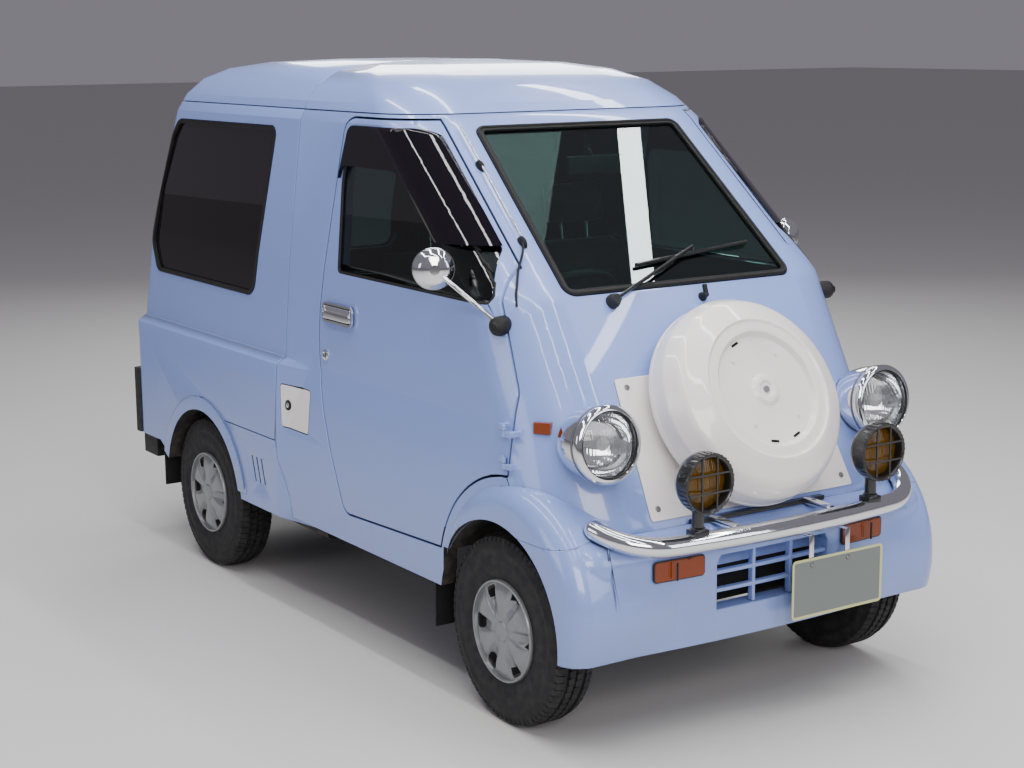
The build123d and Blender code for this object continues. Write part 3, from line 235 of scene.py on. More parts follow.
wheel_silver = silver_paint("silver_wheel_paint", "#8D8F93", "#5E5B57")

# %% [markdown]
# ## Rubber, black plastic and chassis paint
# Tyre rubber is dull because carbon black makes it slightly porous, and road dust dries grey in its grain. Moulded
# plastic has a leather-like grain about a millimetre across.


# %% Rubber and plastics
def dull(name, colour, dust, grain_mm, depth_mm, roughness, dust_share=0.4):
    """A dull moulded surface: rubber, grained plastic or brushed chassis paint."""
    material, tree, shader, place = finish(name, Roughness=roughness)
    grain = add(tree, "ShaderNodeTexVoronoi", {"Vector": place, "Scale": 1 / (grain_mm * MM)})
    relief(tree, shader, (grain, "Distance"), 0.35, depth_mm)
    share = ramp(tree, (cloud(tree, place, 28, 6.0), "Fac"), 0.4, 0.8, 0.0, dust_share)
    colour_from(tree, shader, blend(tree, (share, "Result"), linear(colour), linear(dust)))
    return material


tyre_rubber = dull("tyre_rubber", "#17171A", "#4A4742", 1.6, 0.3, 0.82)
seal_rubber = dull("seal_rubber", "#0B0B0C", "#2C2B29", 0.9, 0.1, 0.6, 0.2)
trim_plastic = dull("grained_trim_plastic", "#1B1C1F", "#3C3B39", 1.1, 0.25, 0.62, 0.15)
bumper_plastic = dull("textured_bumper_plastic", "#141415", "#4B4844", 1.3, 0.25, 0.66)
chassis_paint = dull("chassis_paint", "#1A1917", "#5B5045", 4.0, 0.5, 0.75, 0.6)
cast_metal = dull("dusty_cast_metal", "#4D4B47", "#6B6155", 3.0, 0.6, 0.7, 0.6)
# Painted shade: a dull near black for holes, slots and recesses, which are dark only because shade falls in them.
painted_shade_black = dull("painted_shade_inside_paint", "#060606", "#121110", 5.0, 0.2, 0.9)
lining = dull("grey_cabin_lining", "#2B2D31", "#222326", 1.4, 0.2, 0.8, 0.3)

# %% [markdown]
# ## Glass and lamp plastic
# Car glass has a faint green cast from its iron; tinted glass is dyed almost black. Lamp lenses are acrylic, dyed in
# the mass and ribbed inside to spread the light. Glass has an IOR of 1.52 and acrylic of 1.49.


# %% Glass and lenses
def clear_sheet(name, colour, clear, ior=1.52, roughness=0.0):
    """Float glass or acrylic: a sharp reflection over a sheet that is tinted in the mass."""
    material, tree, shader, place = finish(name, Roughness=roughness, IOR=ior, Transmission_Weight=clear)
    lighter = [min(1.0, v * 1.2) for v in linear(colour)[:3]] + [1.0]
    colour_from(tree, shader, blend(tree, (cloud(tree, place, 120, 3.0), "Fac"), linear(colour), lighter))
    return material


def bands(tree, place, width_mm, axis):
    """Parallel waves across one axis."""
    return add(tree, "ShaderNodeTexWave", {"Vector": place, "Scale": 0.314 / (width_mm * MM)}, bands_direction=axis)


def dyed_lens(name, colour, rib_mm, axis, clear, flute=0.5):
    """Dyed or clear acrylic with ribs moulded across it."""
    material, tree, shader, place = finish(name, Roughness=0.06, IOR=1.49, Transmission_Weight=clear,
                                           Base_Color=linear(colour))
    relief(tree, shader, (bands(tree, place, rib_mm, axis), "Fac"), flute, 0.8)
    return material


screen_glass = clear_sheet("green_float_glass", "#8FB9B2", 1.0)
side_glass = clear_sheet("side_float_glass", "#72807F", 1.0)
dark_glass = clear_sheet("dyed_rear_glass", "#141013", 0.12)
smoke_acrylic = clear_sheet("smoked_acrylic_visor", "#0D0912", 0.22, 1.49, 0.02)
lamp_glass = dyed_lens("fluted_lamp_glass", "#FBFBFD", 9.0, "Y", 0.97, flute=0.16)
amber_glass = dyed_lens("amber_fog_glass", "#865E0C", 6.0, "Y", 0.6)
orange_acrylic = dyed_lens("orange_turn_lens", "#863600", 6.0, "Y", 0.15, flute=0.2)
red_acrylic = dyed_lens("red_tail_lens", "#A3100B", 5.0, "Z", 0.2)
white_acrylic = dyed_lens("clear_reversing_lens", "#D8DADA", 5.0, "Z", 0.35)

# %% [markdown]
# ## Cloth and the blank plate
# The seats wear a plain woven cloth with threads too fine to show, so the weave is drawn three millimetres coarse.
# The plate is pressed steel, painted and left blank.


# %% Cloth and plate paint
def woven(name, colour, light, thread_mm):
    """A plain weave: two crossed sets of threads that rise and fall."""
    material, tree, shader, place = finish(name, Roughness=0.9, Sheen_Weight=0.25)
    warp, weft = (bands(tree, place, thread_mm, axis) for axis in "YZ")
    cross = add(tree, "ShaderNodeMath", {0: (warp, "Fac"), 1: (weft, "Fac")}, operation="MULTIPLY")
    relief(tree, shader, (cross, "Value"), 0.5, 0.5)
    worn = cloud(tree, place, 60, 4.0)
    mixed = add(tree, "ShaderNodeMath", {0: (cross, "Value"), 1: (worn, "Fac")}, operation="MULTIPLY")
    colour_from(tree, shader, blend(tree, (mixed, "Value"), linear(colour), linear(light)))
    return material


seat_cloth = woven("grey_seat_cloth", "#26282C", "#5A5E66", 3.0)
plate_paint = enamel("pale_plate_paint", "#69716E", "#626865", roughness=0.45)
plate_rim_paint = enamel("pale_plate_rim_paint", "#C9C98C", "#A5A377", roughness=0.45)

# %% [markdown]
# ## Give every CAD piece its real finish
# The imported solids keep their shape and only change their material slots, by a table of finish and nodes.

# %% Finishes for the CAD nodes
FINISHES = {
    enamel_blue: "cab_shell cargo_shell roof_panel skirt_panels front_wings front_apron grille door_right door_left "
                 "tailgate",
    enamel_white: "nose_panel spare_cover fuel_lid",
    enamel_black: "spare_carrier wiper",
    bumper_plastic: "rear_bumper tail_lamps",
    chrome_plate: "bumper_bar headlamps mirror_right mirror_left",
    seal_rubber: "window_seals mud_flaps",
    screen_glass: "windscreen tailgate_glass",
    dark_glass: "quarter_glass",
    lamp_glass: "headlamp_lenses",
    amber_glass: "fog_lenses",
    orange_acrylic: "turn_lamps",
    plate_paint: "number_plates",
    trim_plastic: "dashboard steering_wheel fog_lamps",
    seat_cloth: "seats",
    side_glass: "door_glass_right door_glass_left",
    chassis_paint: "chassis_frame front_suspension rear_axle fuel_tank floor_pan",
    cast_metal: "engine exhaust knuckle_right knuckle_left",
    tyre_rubber: "tyre_front_right tyre_front_left tyre_rear_right tyre_rear_left",
    wheel_silver: "wheel_front_right wheel_front_left wheel_rear_right wheel_rear_left",
}


def dress(obj, material):
    """Give an object one finish."""
    obj.data.materials.clear()
    obj.data.materials.append(material)
    for face in obj.data.polygons:
        face.material_index = 0


FINISH_OF = {node: material for material, nodes in FINISHES.items() for node in nodes.split()}
for node, material in FINISH_OF.items():
    dress(frame["nodes"][node], material)
print(len(FINISH_OF), "nodes dressed, left out:", sorted(set(frame["nodes"]) - set(FINISH_OF)))

# %% [markdown]
# ## Soft edges on the pressed panels
# The folded rim of a pressed panel has a radius of a few millimetres, which catches the light along every gap. A CAD
# mesh is loose triangles, so a copy is merged, its flat parts are joined again, and a bevel rounds its sharp edges.
# Faces towards the cabin get a lining, and those over the wheels an underbody coat.

# %% Panels with rolled edges
BODY_OF = {node: body for body, nodes in frame["record"]["behaviour"]["bodies"].items() for node in nodes}
SIDES = (("right", -1), ("left", 1))


def solid(name, bm, material):
    """Turn a finished bmesh into an object."""
    mesh = bpy.data.meshes.new(name)
    bm.to_mesh(mesh)
    bm.free()
    mesh.materials.append(material)
    return linked(name, mesh)


def keep(name, bm, material, body="body", smooth=40, replaces=()):
    """Make a finished bmesh a piece of the object that rides on its body."""
    obj = solid(name, bm, material)
    if smooth:
        obj.data.shade_smooth()
        obj.data.set_sharp_from_angle(angle=math.radians(smooth))
    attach(obj, body)
    if replaces:
        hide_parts(*replaces)
    return obj


def merged(node):
    """A CAD mesh as a bmesh, with its loose triangles joined."""
    bm = bmesh.new()
    bm.from_mesh(frame["nodes"][node].data)
    bmesh.ops.remove_doubles(bm, verts=bm.verts, dist=0.02 * MM)
    return bm


def stand_in(name, node, bm, smooth):
    """A piece that stands for a CAD node and hides it, with its finish and body."""
    return keep(name, bm, FINISH_OF[node], BODY_OF[node], smooth, (node,))


def joined(node):
    """A merged copy of a CAD node, smooth where it curves."""
    return stand_in(node + "_joined", node, merged(node), 40)


def islands(bm):
    """The separate solids of a bmesh, as lists of faces."""
    left = set(bm.faces)
    groups = []
    while left:
        group = [left.pop()]
        for face in group:
            near = {other for edge in face.edges for other in edge.link_faces} & left
            left -= near
            group.extend(near)
        groups.append(group)
    return groups


def rolled(node, width_mm, smooth=32):
    """A merged copy of a CAD panel with rounded edges."""
    bm = merged(node)
    bmesh.ops.dissolve_limit(bm, angle_limit=math.radians(0.1), verts=bm.verts, edges=bm.edges)
    obj = stand_in(node + "_rolled", node, bm, smooth)
    put(obj.modifiers.new("rolled_edge", "BEVEL"), width=width_mm * MM, segments=2, limit_method="ANGLE",
        angle_limit=math.radians(40), use_clamp_overlap=False, miter_outer="MITER_ARC")
    return obj


ARCH_CENTRES = [mm(975, 0, 275), mm(-855, 0, 265)]
ARCH_BAND = (200 * MM, 345 * MM)
CABIN_X = (-1.0, 0.5)
LINED_FROM_Z = 0.6
LINED_AREA = 6e-4


def line_inside(obj):
    """Give faces that look into the cabin a dark lining, and wheel arches a black underbody coat."""
    obj.data.materials.append(lining)
    obj.data.materials.append(chassis_paint)
    for face in obj.data.polygons:
        spot = face.center
        middle = Vector((max(CABIN_X[0], min(CABIN_X[1], spot.x)), 0, 1.0))
        inward = face.normal.dot((spot - middle).normalized()) < -0.35
        if inward and spot.z > LINED_FROM_Z and face.area > LINED_AREA:
            face.material_index = 1
        for centre in ARCH_CENTRES:
            away = Vector((spot.x - centre.x, 0, spot.z - centre.z))
            if ARCH_BAND[0] < away.length < ARCH_BAND[1] and face.normal.dot(away.normalized()) < -0.7:
                face.material_index = 2


for node, width in {"cab_shell": 1.6, "cargo_shell": 1.6, "door_right": 2.0, "door_left": 2.0, "tailgate": 2.0,
                    "skirt_panels": 1.2, "front_wings": 1.5, "front_apron": 2.5, "roof_panel": 1.0, "grille": 1.5,
                    "nose_panel": 1.2, "fuel_lid": 1.2}.items():
    obj = rolled(node, width)
    if FINISH_OF[node] == enamel_blue:
        line_inside(obj)
    print(obj.name, len(obj.data.polygons), "faces")

# %% [markdown]
# ## Shapes that are turned on an axis
# Wheels, lamps and mirrors are turned parts. A profile of radius and height describes each; one function spins it and
# another aims it at its place.


# %% Spin a profile and aim it
def spun(profile, steps=64, closed=False):
    """Spin points of (radius, height) in mm round the Z axis; a closed profile makes a ring."""
    bm = bmesh.new()
    verts = [bm.verts.new(mm(r, 0, h)) for r, h in profile]
    ends = verts[1:] + verts[:1] if closed else verts[1:]
    edges = [bm.edges.new(pair) for pair in zip(verts, ends)]
    bmesh.ops.spin(bm, geom=verts + edges, cent=(0, 0, 0), axis=(0, 0, 1), angle=math.tau, steps=steps,
                   use_merge=True, use_normal_flip=False, use_duplicate=False)
    bmesh.ops.remove_doubles(bm, verts=bm.verts, dist=0.01 * MM)
    bmesh.ops.recalc_face_normals(bm, faces=bm.faces)
    return bm


def moved(bm, matrix, verts=None):
    """Transform a bmesh, or only some of its points."""
    bmesh.ops.transform(bm, matrix=matrix, verts=verts or bm.verts)
    return bm


def shifted(bm, vector):
    """Move a bmesh by a vector."""
    return moved(bm, Matrix.Translation(vector))


def aim(bm, origin, direction, up=(0, 0, 1)):
    """Move a bmesh made along +Z so that it points along a direction; its +Y stays near up."""
    z = Vector(direction).normalized()
    x = Vector(up).cross(z).normalized()
    y = z.cross(x)
    return moved(bm, Matrix.Translation(origin) @ Matrix((x, y, z)).transposed().to_4x4())


def brick(bm, centre, size, turn=None):
    """Add a box to a bmesh, sized in mm about a centre in mm."""
    matrix = Matrix.Translation(mm(*centre)) @ (turn or Matrix()) @ Matrix.Diagonal((*mm(*size), 1))
    return bmesh.ops.create_cube(bm, size=1.0, matrix=matrix)["verts"]


def boxes(*bricks):
    """A bmesh of boxes, each given as for brick."""
    bm = bmesh.new()
    for item in bricks:
        brick(bm, *item)
    return bm


def round_edges(bm, width_mm, segments=2, edges=None, angle=35):
    """Bevel the edges sharper than an angle."""
    if edges is None:
        edges = [e for e in bm.edges if e.is_manifold and e.calc_face_angle(0) > math.radians(angle)]
    bmesh.ops.bevel(bm, geom=edges, offset=width_mm * MM, offset_type="OFFSET", segments=segments, profile=0.5,
                    affect="EDGES", material=-1, clamp_overlap=True)
    return bm


def turned(name, profile, steps, place, direction, material, body="body", smooth=40, closed=False):
    """Keep a turned piece, aimed at its place."""
    return keep(name, aim(spun(profile, steps, closed), place, direction), material, body, smooth)


def blocky(name, bricks, width_mm, material, body="body", smooth=40, segments=2):
    """Keep a piece made of boxes with rounded edges."""
    return keep(name, round_edges(boxes(*bricks), width_mm, segments), material, body, smooth)


def rounded_sheet(width, height, radius, segments, thick):
    """A sheet with round corners in the XY plane, thick along +Z, and its top face; sizes in mm."""
    bm = bmesh.new()
    w, h = width / 2, height / 2
    face = bm.faces.new([bm.verts.new(mm(a, b, 0)) for a, b in ((-w, -h), (w, -h), (w, h), (-w, h))])
    bmesh.ops.bevel(bm, geom=list(face.verts), offset=radius * MM, segments=segments, profile=0.5, affect="VERTICES",
                    material=-1)
    raised = bmesh.ops.extrude_face_region(bm, geom=list(bm.faces), use_keep_orig=True)["geom"]
    bmesh.ops.translate(bm, vec=mm(0, 0, thick), verts=[v for v in raised if isinstance(v, bmesh.types.BMVert)])
    bmesh.ops.recalc_face_normals(bm, faces=bm.faces)
    return bm, next(f for f in raised if isinstance(f, bmesh.types.BMFace))


def merge(bm, other):
    """Add another bmesh's shape to this one and free it."""
    mesh = bpy.data.meshes.new("merge_scratch")
    other.to_mesh(mesh)
    other.free()
    bm.from_mesh(mesh)
    bpy.data.meshes.remove(mesh)
    return bm


# %% [markdown]
# ## Tyres
# A narrow ten-inch van tyre has four rows of blocks between three straight grooves. The carcass is spun, and one
# pitch of blocks is repeated round it, just inside the rolling radius.

# %% Tyre carcass and tread
WHEEL_Y = 555
AXLE_Z = 260
AXLES = {"front": 970, "rear": -870}
WHEELS = [(f"{end}_{hand}", side, mm(x, side * WHEEL_Y, AXLE_Z)) for end, x in AXLES.items() for hand, side in SIDES]
CARCASS = [(129, 51), (134, 56), (146, 57), (158, 60), (172, 61.5), (176, 63.4), (196, 63.6), (200, 62.2), (214, 62),
           (217, 63), (221, 63), (224, 61.6), (238, 58), (250, 52), (252.4, 44), (252.6, 27), (252.6, 0)]
PITCHES = 72
TREAD_R = 255.6
TREAD_ROWS = [(-43, 21), (-12, 17), (12, 17), (43, 21)]


def tread_bricks(bm):
    """Pitches of four blocks; the shoulder blocks slope down the side and carry a rib."""
    for i in range(PITCHES):
        for row, (y, width) in enumerate(TREAD_ROWS):
            middle = row in (1, 2)
            spin = turn_by((i + 0.5 * (row % 2)) * 360 / PITCHES, "Y")
            skew = turn_by(12 if middle else 0, "Z")
            verts = brick(bm, (0, 0, 0), (19.6, width, 7.4), skew)
            for vert in verts:
                vert.co += mm(0, y, TREAD_R)
                if abs(vert.co.y) > 50 * MM:
                    vert.co.z -= 6.5 * MM
            moved(bm, spin, verts)
            if not middle:
                ribs = brick(bm, (0, 0, 0), (15, 2.6, 13))
                for vert in ribs:
                    vert.co += mm(0, math.copysign(56.6 if vert.co.z < 0 else 53.4, y), 246.5)
                moved(bm, spin, ribs)


def carcass():
    """The tyre's casing, spun about the axle and closed inside."""
    bm = spun(CARCASS + [(r, -h) for r, h in CARCASS[-2::-1]] + [(129, 0)], 96, closed=True)
    moved(bm, turn_by(-90, "X"))
    return bm


for wheel, side, hub in WHEELS:
    bm = carcass()
    tread_bricks(bm)
    tyre = keep(f"tread_{wheel}", shifted(bm, hub), tyre_rubber, f"wheel_{wheel}", 30, replaces=(f"tyre_{wheel}",))
print("tyre:", len(tyre.data.polygons), "faces each")

# %% [markdown]
# ## Wheel covers
# The covers have a thin bright lip and six broad spokes like petals, with valleys that sink towards small openings at
# the rim. The openings are not cut: they are shallow dimples coloured near black as painted shade. Such a moulding is
# a height over a disc, which a polar grid samples.

# %% Steel rim and sculpted cover
LIP = 67
RIM_R = 131
HUB_R = 27
SPOKE_HEIGHTS = [(28, 64), (40, 65), (70, 66.5), (98, 66), (112, 64), (122, 60), (131, 58)]
VALLEY_HEIGHTS = [(28, 63.5), (44, 63.5), (56, 61), (74, 54), (96, 50), (113, 50.5), (124, 54), (131, 58)]
OPENING_R = (97.5, 118.5)
COVER_RADII = [6, 14, 22, 26, 28, 30, 33, 36, 42, 48, 54, 60, 67, 74, 81, 88, 94, 99, 103, 107, 111, 114, 117, 120, 123,
               126, 128.5, 131, 133, 134.5, 137.5, 139.5]
STEEL_RIM = [(24, 6), (24, -22), (60, -22), (70, -8), (120, -8), (120, -56), (138, -56), (138, -52), (128, -52),
             (128, 52), (138, 52), (138, 56), (120, 56), (120, 6)]
PETALS = 6


def between(table, r):
    """Read a height off a table of radius and height."""
    for (r0, h0), (r1, h1) in zip(table, table[1:]):
        if r <= r1:
            return h0 + (h1 - h0) * max(0.0, (r - r0) / (r1 - r0))
    return table[-1][1]


def valley_share(angle):
    """How far an angle is from a spoke's middle: 0 there, 1 in the middle of a valley."""
    return abs((angle * PETALS / math.tau) % 1 - 0.5) * 2


def is_opening(r, angle):
    """True in the small openings at the outer ends of the valleys."""
    return OPENING_R[0] < r < OPENING_R[1] and valley_share(angle) > 0.69


def cover_height(r, angle):
    """The cover's height in mm over the wheel's middle plane."""
    if r < HUB_R:
        return 68 - 1.6 * (r / HUB_R) ** 2
    if r > RIM_R:
        return min(LIP, 58 + (r - RIM_R) * 4.5) - max(0, r - 137.5) * 1.6
    share = valley_share(angle)
    edge = 0.5 + 0.16 * min(1, (r - 28) / 70)
    fall = min(1.0, max(0.0, (share - edge + 0.17) / 0.34))
    fall = fall * fall * (3 - 2 * fall)
    height = between(SPOKE_HEIGHTS, r) * (1 - fall) + between(VALLEY_HEIGHTS, r) * fall
    return height - (6 if is_opening(r, angle) else 0)


def sculpted_cover(steps=144):
    """The cover as a closed disc: a polar grid of heights in front, a stepped flat back."""
    bm = bmesh.new()
    angles = [i * math.tau / steps for i in range(steps)]
    rows = [(r, None) for r in COVER_RADII] + [(139.5, 57.5), (127, 57), (124, 42)]
    rings = [[bm.verts.new(mm(r * math.cos(t), r * math.sin(t), cover_height(r, t) if h is None else h))
              for t in angles] for r, h in rows]
    pole = bm.verts.new(mm(0, 0, cover_height(0, 0)))
    for i in range(steps):
        j = (i + 1) % steps
        bm.faces.new((pole, rings[0][i], rings[0][j]))
        for inner, outer in zip(rings, rings[1:]):
            bm.faces.new((inner[i], outer[i], outer[j], inner[j]))
    bm.faces.new(list(reversed(rings[-1])))
    for face in bm.faces:
        spot = face.calc_center_median() / MM
        r = math.hypot(spot.x, spot.y)
        # Painted shade: the openings' faces get the near black of a hole's shade.
        face.material_index = 1 if spot.z > 41.9 and is_opening(r, math.atan2(spot.y, spot.x)) else 0
    return bm


# %% Place rims and covers
for wheel, side, hub in WHEELS:
    body, outward = f"wheel_{wheel}", (0, side, 0)
    disc = keep(f"cover_{wheel}", aim(sculpted_cover(), hub, outward), wheel_silver, body, 50, replaces=(body,))
    disc.data.materials.append(painted_shade_black)
    steel = aim(spun(STEEL_RIM, closed=True), hub, outward)
    keep(f"steel_rim_{wheel}", steel, chassis_paint, body)
    turned(f"valve_{wheel}", [(0, 0), (3.2, 0), (3.4, 3), (2.6, 11), (2.6, 12), (0, 12)], 16,
           hub + mm(0, side * 52, 109), outward, seal_rubber, body, 30)
print("wheel cover:", len(disc.data.polygons), "faces")

# %% [markdown]
# ## Headlamps
# Each lamp is a chromed steel bullet with a bright bowl and a bulb on a stem. The CAD bowl is solid, so a shell with a
# real hollow replaces it: light comes back from the bowl, which makes a lamp look deep.

# %% Headlamp bowls, reflectors and bulbs
TILT = math.radians(6)
LAMP_AXIS = Vector((math.cos(TILT), 0, math.sin(TILT)))
LAMP_SHELL = [(0, -149), (20, -148.5), (46, -142), (70, -124), (84, -100), (93, -66), (97.5, -32), (98, -9),
              (101.2, -7), (102, -3), (102, 4), (100.5, 7.5), (96, 11), (91, 13.5), (88.4, 13.6), (86.6, 11),
              (86.6, -4), (84, -10), (76, -34), (62, -58), (44, -74), (24, -83), (0, -86)]


for hand, side in SIDES:
    place = mm(1249, side * 479, 800), LAMP_AXIS
    bowl = turned(f"headlamp_bowl_{hand}", LAMP_SHELL, 72, *place, chrome_plate)
    if side == -1:
        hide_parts("headlamps")
    bulb = spun([(0, -80), (9, -80), (9, -62), (7, -58), (11, -50), (12, -42), (9, -34), (0, -30)], 24)
    merge(bulb, spun([(0, -26), (15, -26), (15, -28), (13, -30), (13, -40), (11, -40), (11, -30), (0, -28)], 24))
    keep(f"bulb_{hand}", aim(bulb, *place), white_acrylic)
    turned(f"rim_clip_ring_{hand}", [(98.6, -24), (99.4, -22.5), (99.4, -18), (98.6, -16.5)], 72, *place, raw_steel,
           closed=True)
    # A black rubber ring between rim and lens: partly a real gasket, partly painted shade for the dark inner edge of
    # the rim.
    turned(f"lens_gasket_and_shade_{hand}", [(84.6, 7), (88.6, 8), (88.8, 12.8), (84.8, 11.6)], 72, *place, seal_rubber,
           closed=True)
    screw = round_edges(boxes(((0, -99, -6), (10, 7, 12))), 1.5)
    keep(f"rim_screw_{hand}", aim(screw, *place), chrome_plate, smooth=30)

# %% [markdown]
# ## Fog lamps
# The fog lamps are black-painted cans with a ring of ribs, and the guard in front is a grid of flat bars.

# %% Fog lamps
FOG_Y, POST_X = 301, 1392
FOG_SHELL = [(0, -34), (38, -34), (52, -31), (68, -22), (75, -10), (77.5, -4), (78, 0), (78, 34), (77, 36), (74, 36),
             (72, 34), (69, 33), (68.4, 30), (68.4, 6), (60, -4), (40, -14), (0, -20)]
FOG_RIBS = 36


def at_fog(bm, side):
    """Aim a fog lamp piece at its place on one side."""
    return aim(bm, mm(1404, side * FOG_Y, 711), (1, 0, 0))


for hand, side in SIDES:
    fog = spun(FOG_SHELL, 72)
    for i in range(FOG_RIBS):
        moved(fog, turn_by(i * 360 / FOG_RIBS, "Z"), brick(fog, (77.2, 0, 21), (4.6, 7, 27)))
    for shift in (-24, 24):
        reach = 2 * math.sqrt(71 ** 2 - shift ** 2)
        brick(fog, (shift, 0, 33.2), (5, reach, 3))
        brick(fog, (0, shift, 33.8), (reach, 5, 3))
    at_fog(fog, side)
    post = spun([(0, -8), (20, -8), (20, 3), (16, 7), (16, 62), (0, 62)], 32)
    merge(fog, shifted(post, mm(POST_X, side * FOG_Y, 585)))
    merge(fog, round_edges(boxes(((POST_X, side * FOG_Y, 570), (40, 46, 30))), 3))
    keep(f"fog_lamp_can_{hand}", fog, enamel_black, smooth=30, replaces=("fog_lamps",) if side == -1 else ())
    nut = bmesh.new()
    bmesh.ops.create_cone(nut, cap_ends=True, segments=6, radius1=9 * MM, radius2=9 * MM, depth=7 * MM)
    shifted(nut, mm(POST_X, side * 325, 572))
    keep(f"fog_post_nut_{hand}", round_edges(nut, 0.8), raw_steel, smooth=30)

# %% [markdown]
# ## The spare wheel's cover
# The cover is a plain white moulded drum, so the small marks matter: drain slots at the foot of the recess, drawn as
# near-black bricks of painted shade, four screws, a bare button in the middle and a thin lip where its two halves meet.

# %% Marks on the spare cover
NOSE_NORMAL = Vector((0.8725, 0, 0.4886))
UP_NOSE = Vector((-0.4886, 0, 0.8725))
NOSE_SCREW = [(0, 3.8), (8, 3.8), (8, 5.4), (6, 6.8), (3, 7.2), (0, 7.2)]
COVER_AXIS = mm(1142.6, 0, 807), NOSE_NORMAL
# Painted shade: the drain slots are near-black bricks where real slots would be dark.
slots = bmesh.new()
for degrees in (112, -68, -100):
    moved(slots, turn_by(degrees - 90, "Z"), brick(slots, (0, 143, 181.2), (26, 7, 1.6)))
keep("cover_drain_slot_shade", aim(round_edges(slots, 0.6), *COVER_AXIS), painted_shade_black, smooth=30)

for number, degrees in enumerate((132, 52, -46, -128)):
    screw = spun([(0, 180.5), (5.5, 180.5), (5.5, 182.2), (4.4, 183.4), (2.2, 183.6), (2.0, 182.6), (0, 182.6)], 20)
    moved(screw, turn_by(degrees, "Z") @ Matrix.Translation(mm(116, 0, 0)))
    keep(f"cover_screw_{number}", aim(screw, *COVER_AXIS), enamel_white)

turned("cover_lip", [(281, 60), (282.6, 61), (283.4, 63), (283.4, 66), (282.6, 68), (281, 69)], 128, *COVER_AXIS,
       enamel_white, closed=True)
turned("cover_button", [(0, 182.4), (9, 182.4), (9, 187), (8, 188.4), (6, 188.8), (3, 188.2), (0, 188.2)], 32,
       *COVER_AXIS, wheel_silver)
joined("spare_cover")

for hand, side in SIDES:
    for row, (y, s) in enumerate(((322, 38), (300, 372))):
        foot = mm(1272, side * y, 576) + UP_NOSE * s * MM
        turned(f"nose_screw_{hand}_{row}", NOSE_SCREW, 24, foot, NOSE_NORMAL, raw_steel)
rolled("spare_carrier", 1.0)

# %% [markdown]
# ## Chrome bar and its stays
# The bumper bar is one bent chromed tube, whose CAD surface is right. Each stay gets a bright flat plate with a bolt.

# %% Bumper bar
rolled("bumper_bar", 0.6, 40)
for hand, side in SIDES:
    gusset = ((1336, side * 165, 573), (96, 26, 5), turn_by(4, "Y"))
    blocky(f"stay_plate_{hand}", [gusset], 1.2, chrome_plate, smooth=30)
    head = spun([(0, 0), (8, 0), (8, 3), (6, 5), (0, 5.6)], 6)
    keep(f"stay_bolt_{hand}", shifted(head, mm(1318, side * 165, 573)), raw_steel, smooth=20)

# %% [markdown]
# ## Rubber round the glass
# Every pane sits in a black rubber moulding. Its outline is an edge of its CAD mesh, so the loop of that edge is
# walked once and a soft bead is run along it, also where the pane curves.


# %% Beads along the panes
def pane_outline(node, facing):
    """The longest closed edge round those faces of a pane that look one way."""
    bm = merged(node)
    seen = {face for face in bm.faces if face.normal.dot(Vector(facing)) > 0.6}
    left = dict.fromkeys(edge for edge in bm.edges if sum(face in seen for face in edge.link_faces) == 1)
    loops = []
    while left:
        start, vert = left.popitem()[0].verts
        loop = [start.co.copy(), vert.co.copy()]
        while vert is not start:
            follow = [e for e in vert.link_edges if e in left]
            if not follow:
                break
            del left[follow[0]]
            vert = follow[0].other_vert(vert)
            loop.append(vert.co.copy())
        if vert is start:
            loops.append(loop[:-1])
    bm.free()
    return sorted(loops, key=lambda loop: -sum((a - b).length for a, b in zip(loop, loop[1:])))


def on_side(loops, side):
    """The longest of some loops on one side of the van."""
    return next(loop for loop in loops if loop[0].y * side > 0)


def baked(obj):
    """The mesh that an object has after its modifiers."""
    return bpy.data.meshes.new_from_object(obj.evaluated_get(bpy.context.evaluated_depsgraph_get()))


def bead(name, loop, radius_mm, material, body="body", shift=(0, 0, 0), closed=True):
    """A round bead along a loop of points, as a mesh."""
    path = put(bpy.data.curves.new(name, "CURVE"), dimensions="3D", bevel_depth=radius_mm * MM, bevel_resolution=3,
               use_fill_caps=True)
    spline = path.splines.new("POLY")
    spline.points.add(len(loop) - 1)
    for point, co in zip(spline.points, loop):
        point.co = (*(co + mm(*shift)), 1)
    spline.use_cyclic_u = closed
    holder = linked(name + "_path", path)
    bm = bmesh.new()
    bm.from_mesh(baked(holder))
    bpy.data.objects.remove(holder)
    bmesh.ops.remove_doubles(bm, verts=bm.verts, dist=0.02 * MM)
    bmesh.ops.recalc_face_normals(bm, faces=bm.faces)
    return keep(name, bm, material, body, 60)


SCREEN_NORMAL = Vector((0.6459, 0, 0.7634))
for hand, side in SIDES:
    glass = pane_outline(f"door_glass_{hand}", (0, side, 0))[0]
    bead(f"door_window_rubber_{hand}", glass, 5.5, seal_rubber, f"door_{hand}", shift=(0, side * 3, 0))
    sheet = merged(f"door_glass_{hand}")
    parts = sorted(islands(sheet), key=lambda group: min(v.co.z for face in group for v in face.verts))
    for face in (face for group in parts[1:] for face in group):
        face.material_index = 1
    panes = keep(f"door_panes_{hand}", sheet, side_glass, f"door_{hand}", replaces=(f"door_glass_{hand}",))
    panes.data.materials.append(smoke_acrylic)
gate = pane_outline("tailgate_glass", (-1, 0, 0))[0]
bead("tailgate_window_rubber", gate, 8, seal_rubber, "tailgate", shift=(-2, 0, 0))
rolled("window_seals", 1.0, 40)
for hand, side in SIDES:
    quarter = on_side(pane_outline("quarter_glass", (0, side, 0)), side)
    bead(f"quarter_rubber_{hand}", quarter, 6, seal_rubber, shift=(0, side * 4, 0))
screen = pane_outline("windscreen", SCREEN_NORMAL)[0]
bead("windscreen_moulding", screen, 5, seal_rubber, shift=SCREEN_NORMAL * 7)
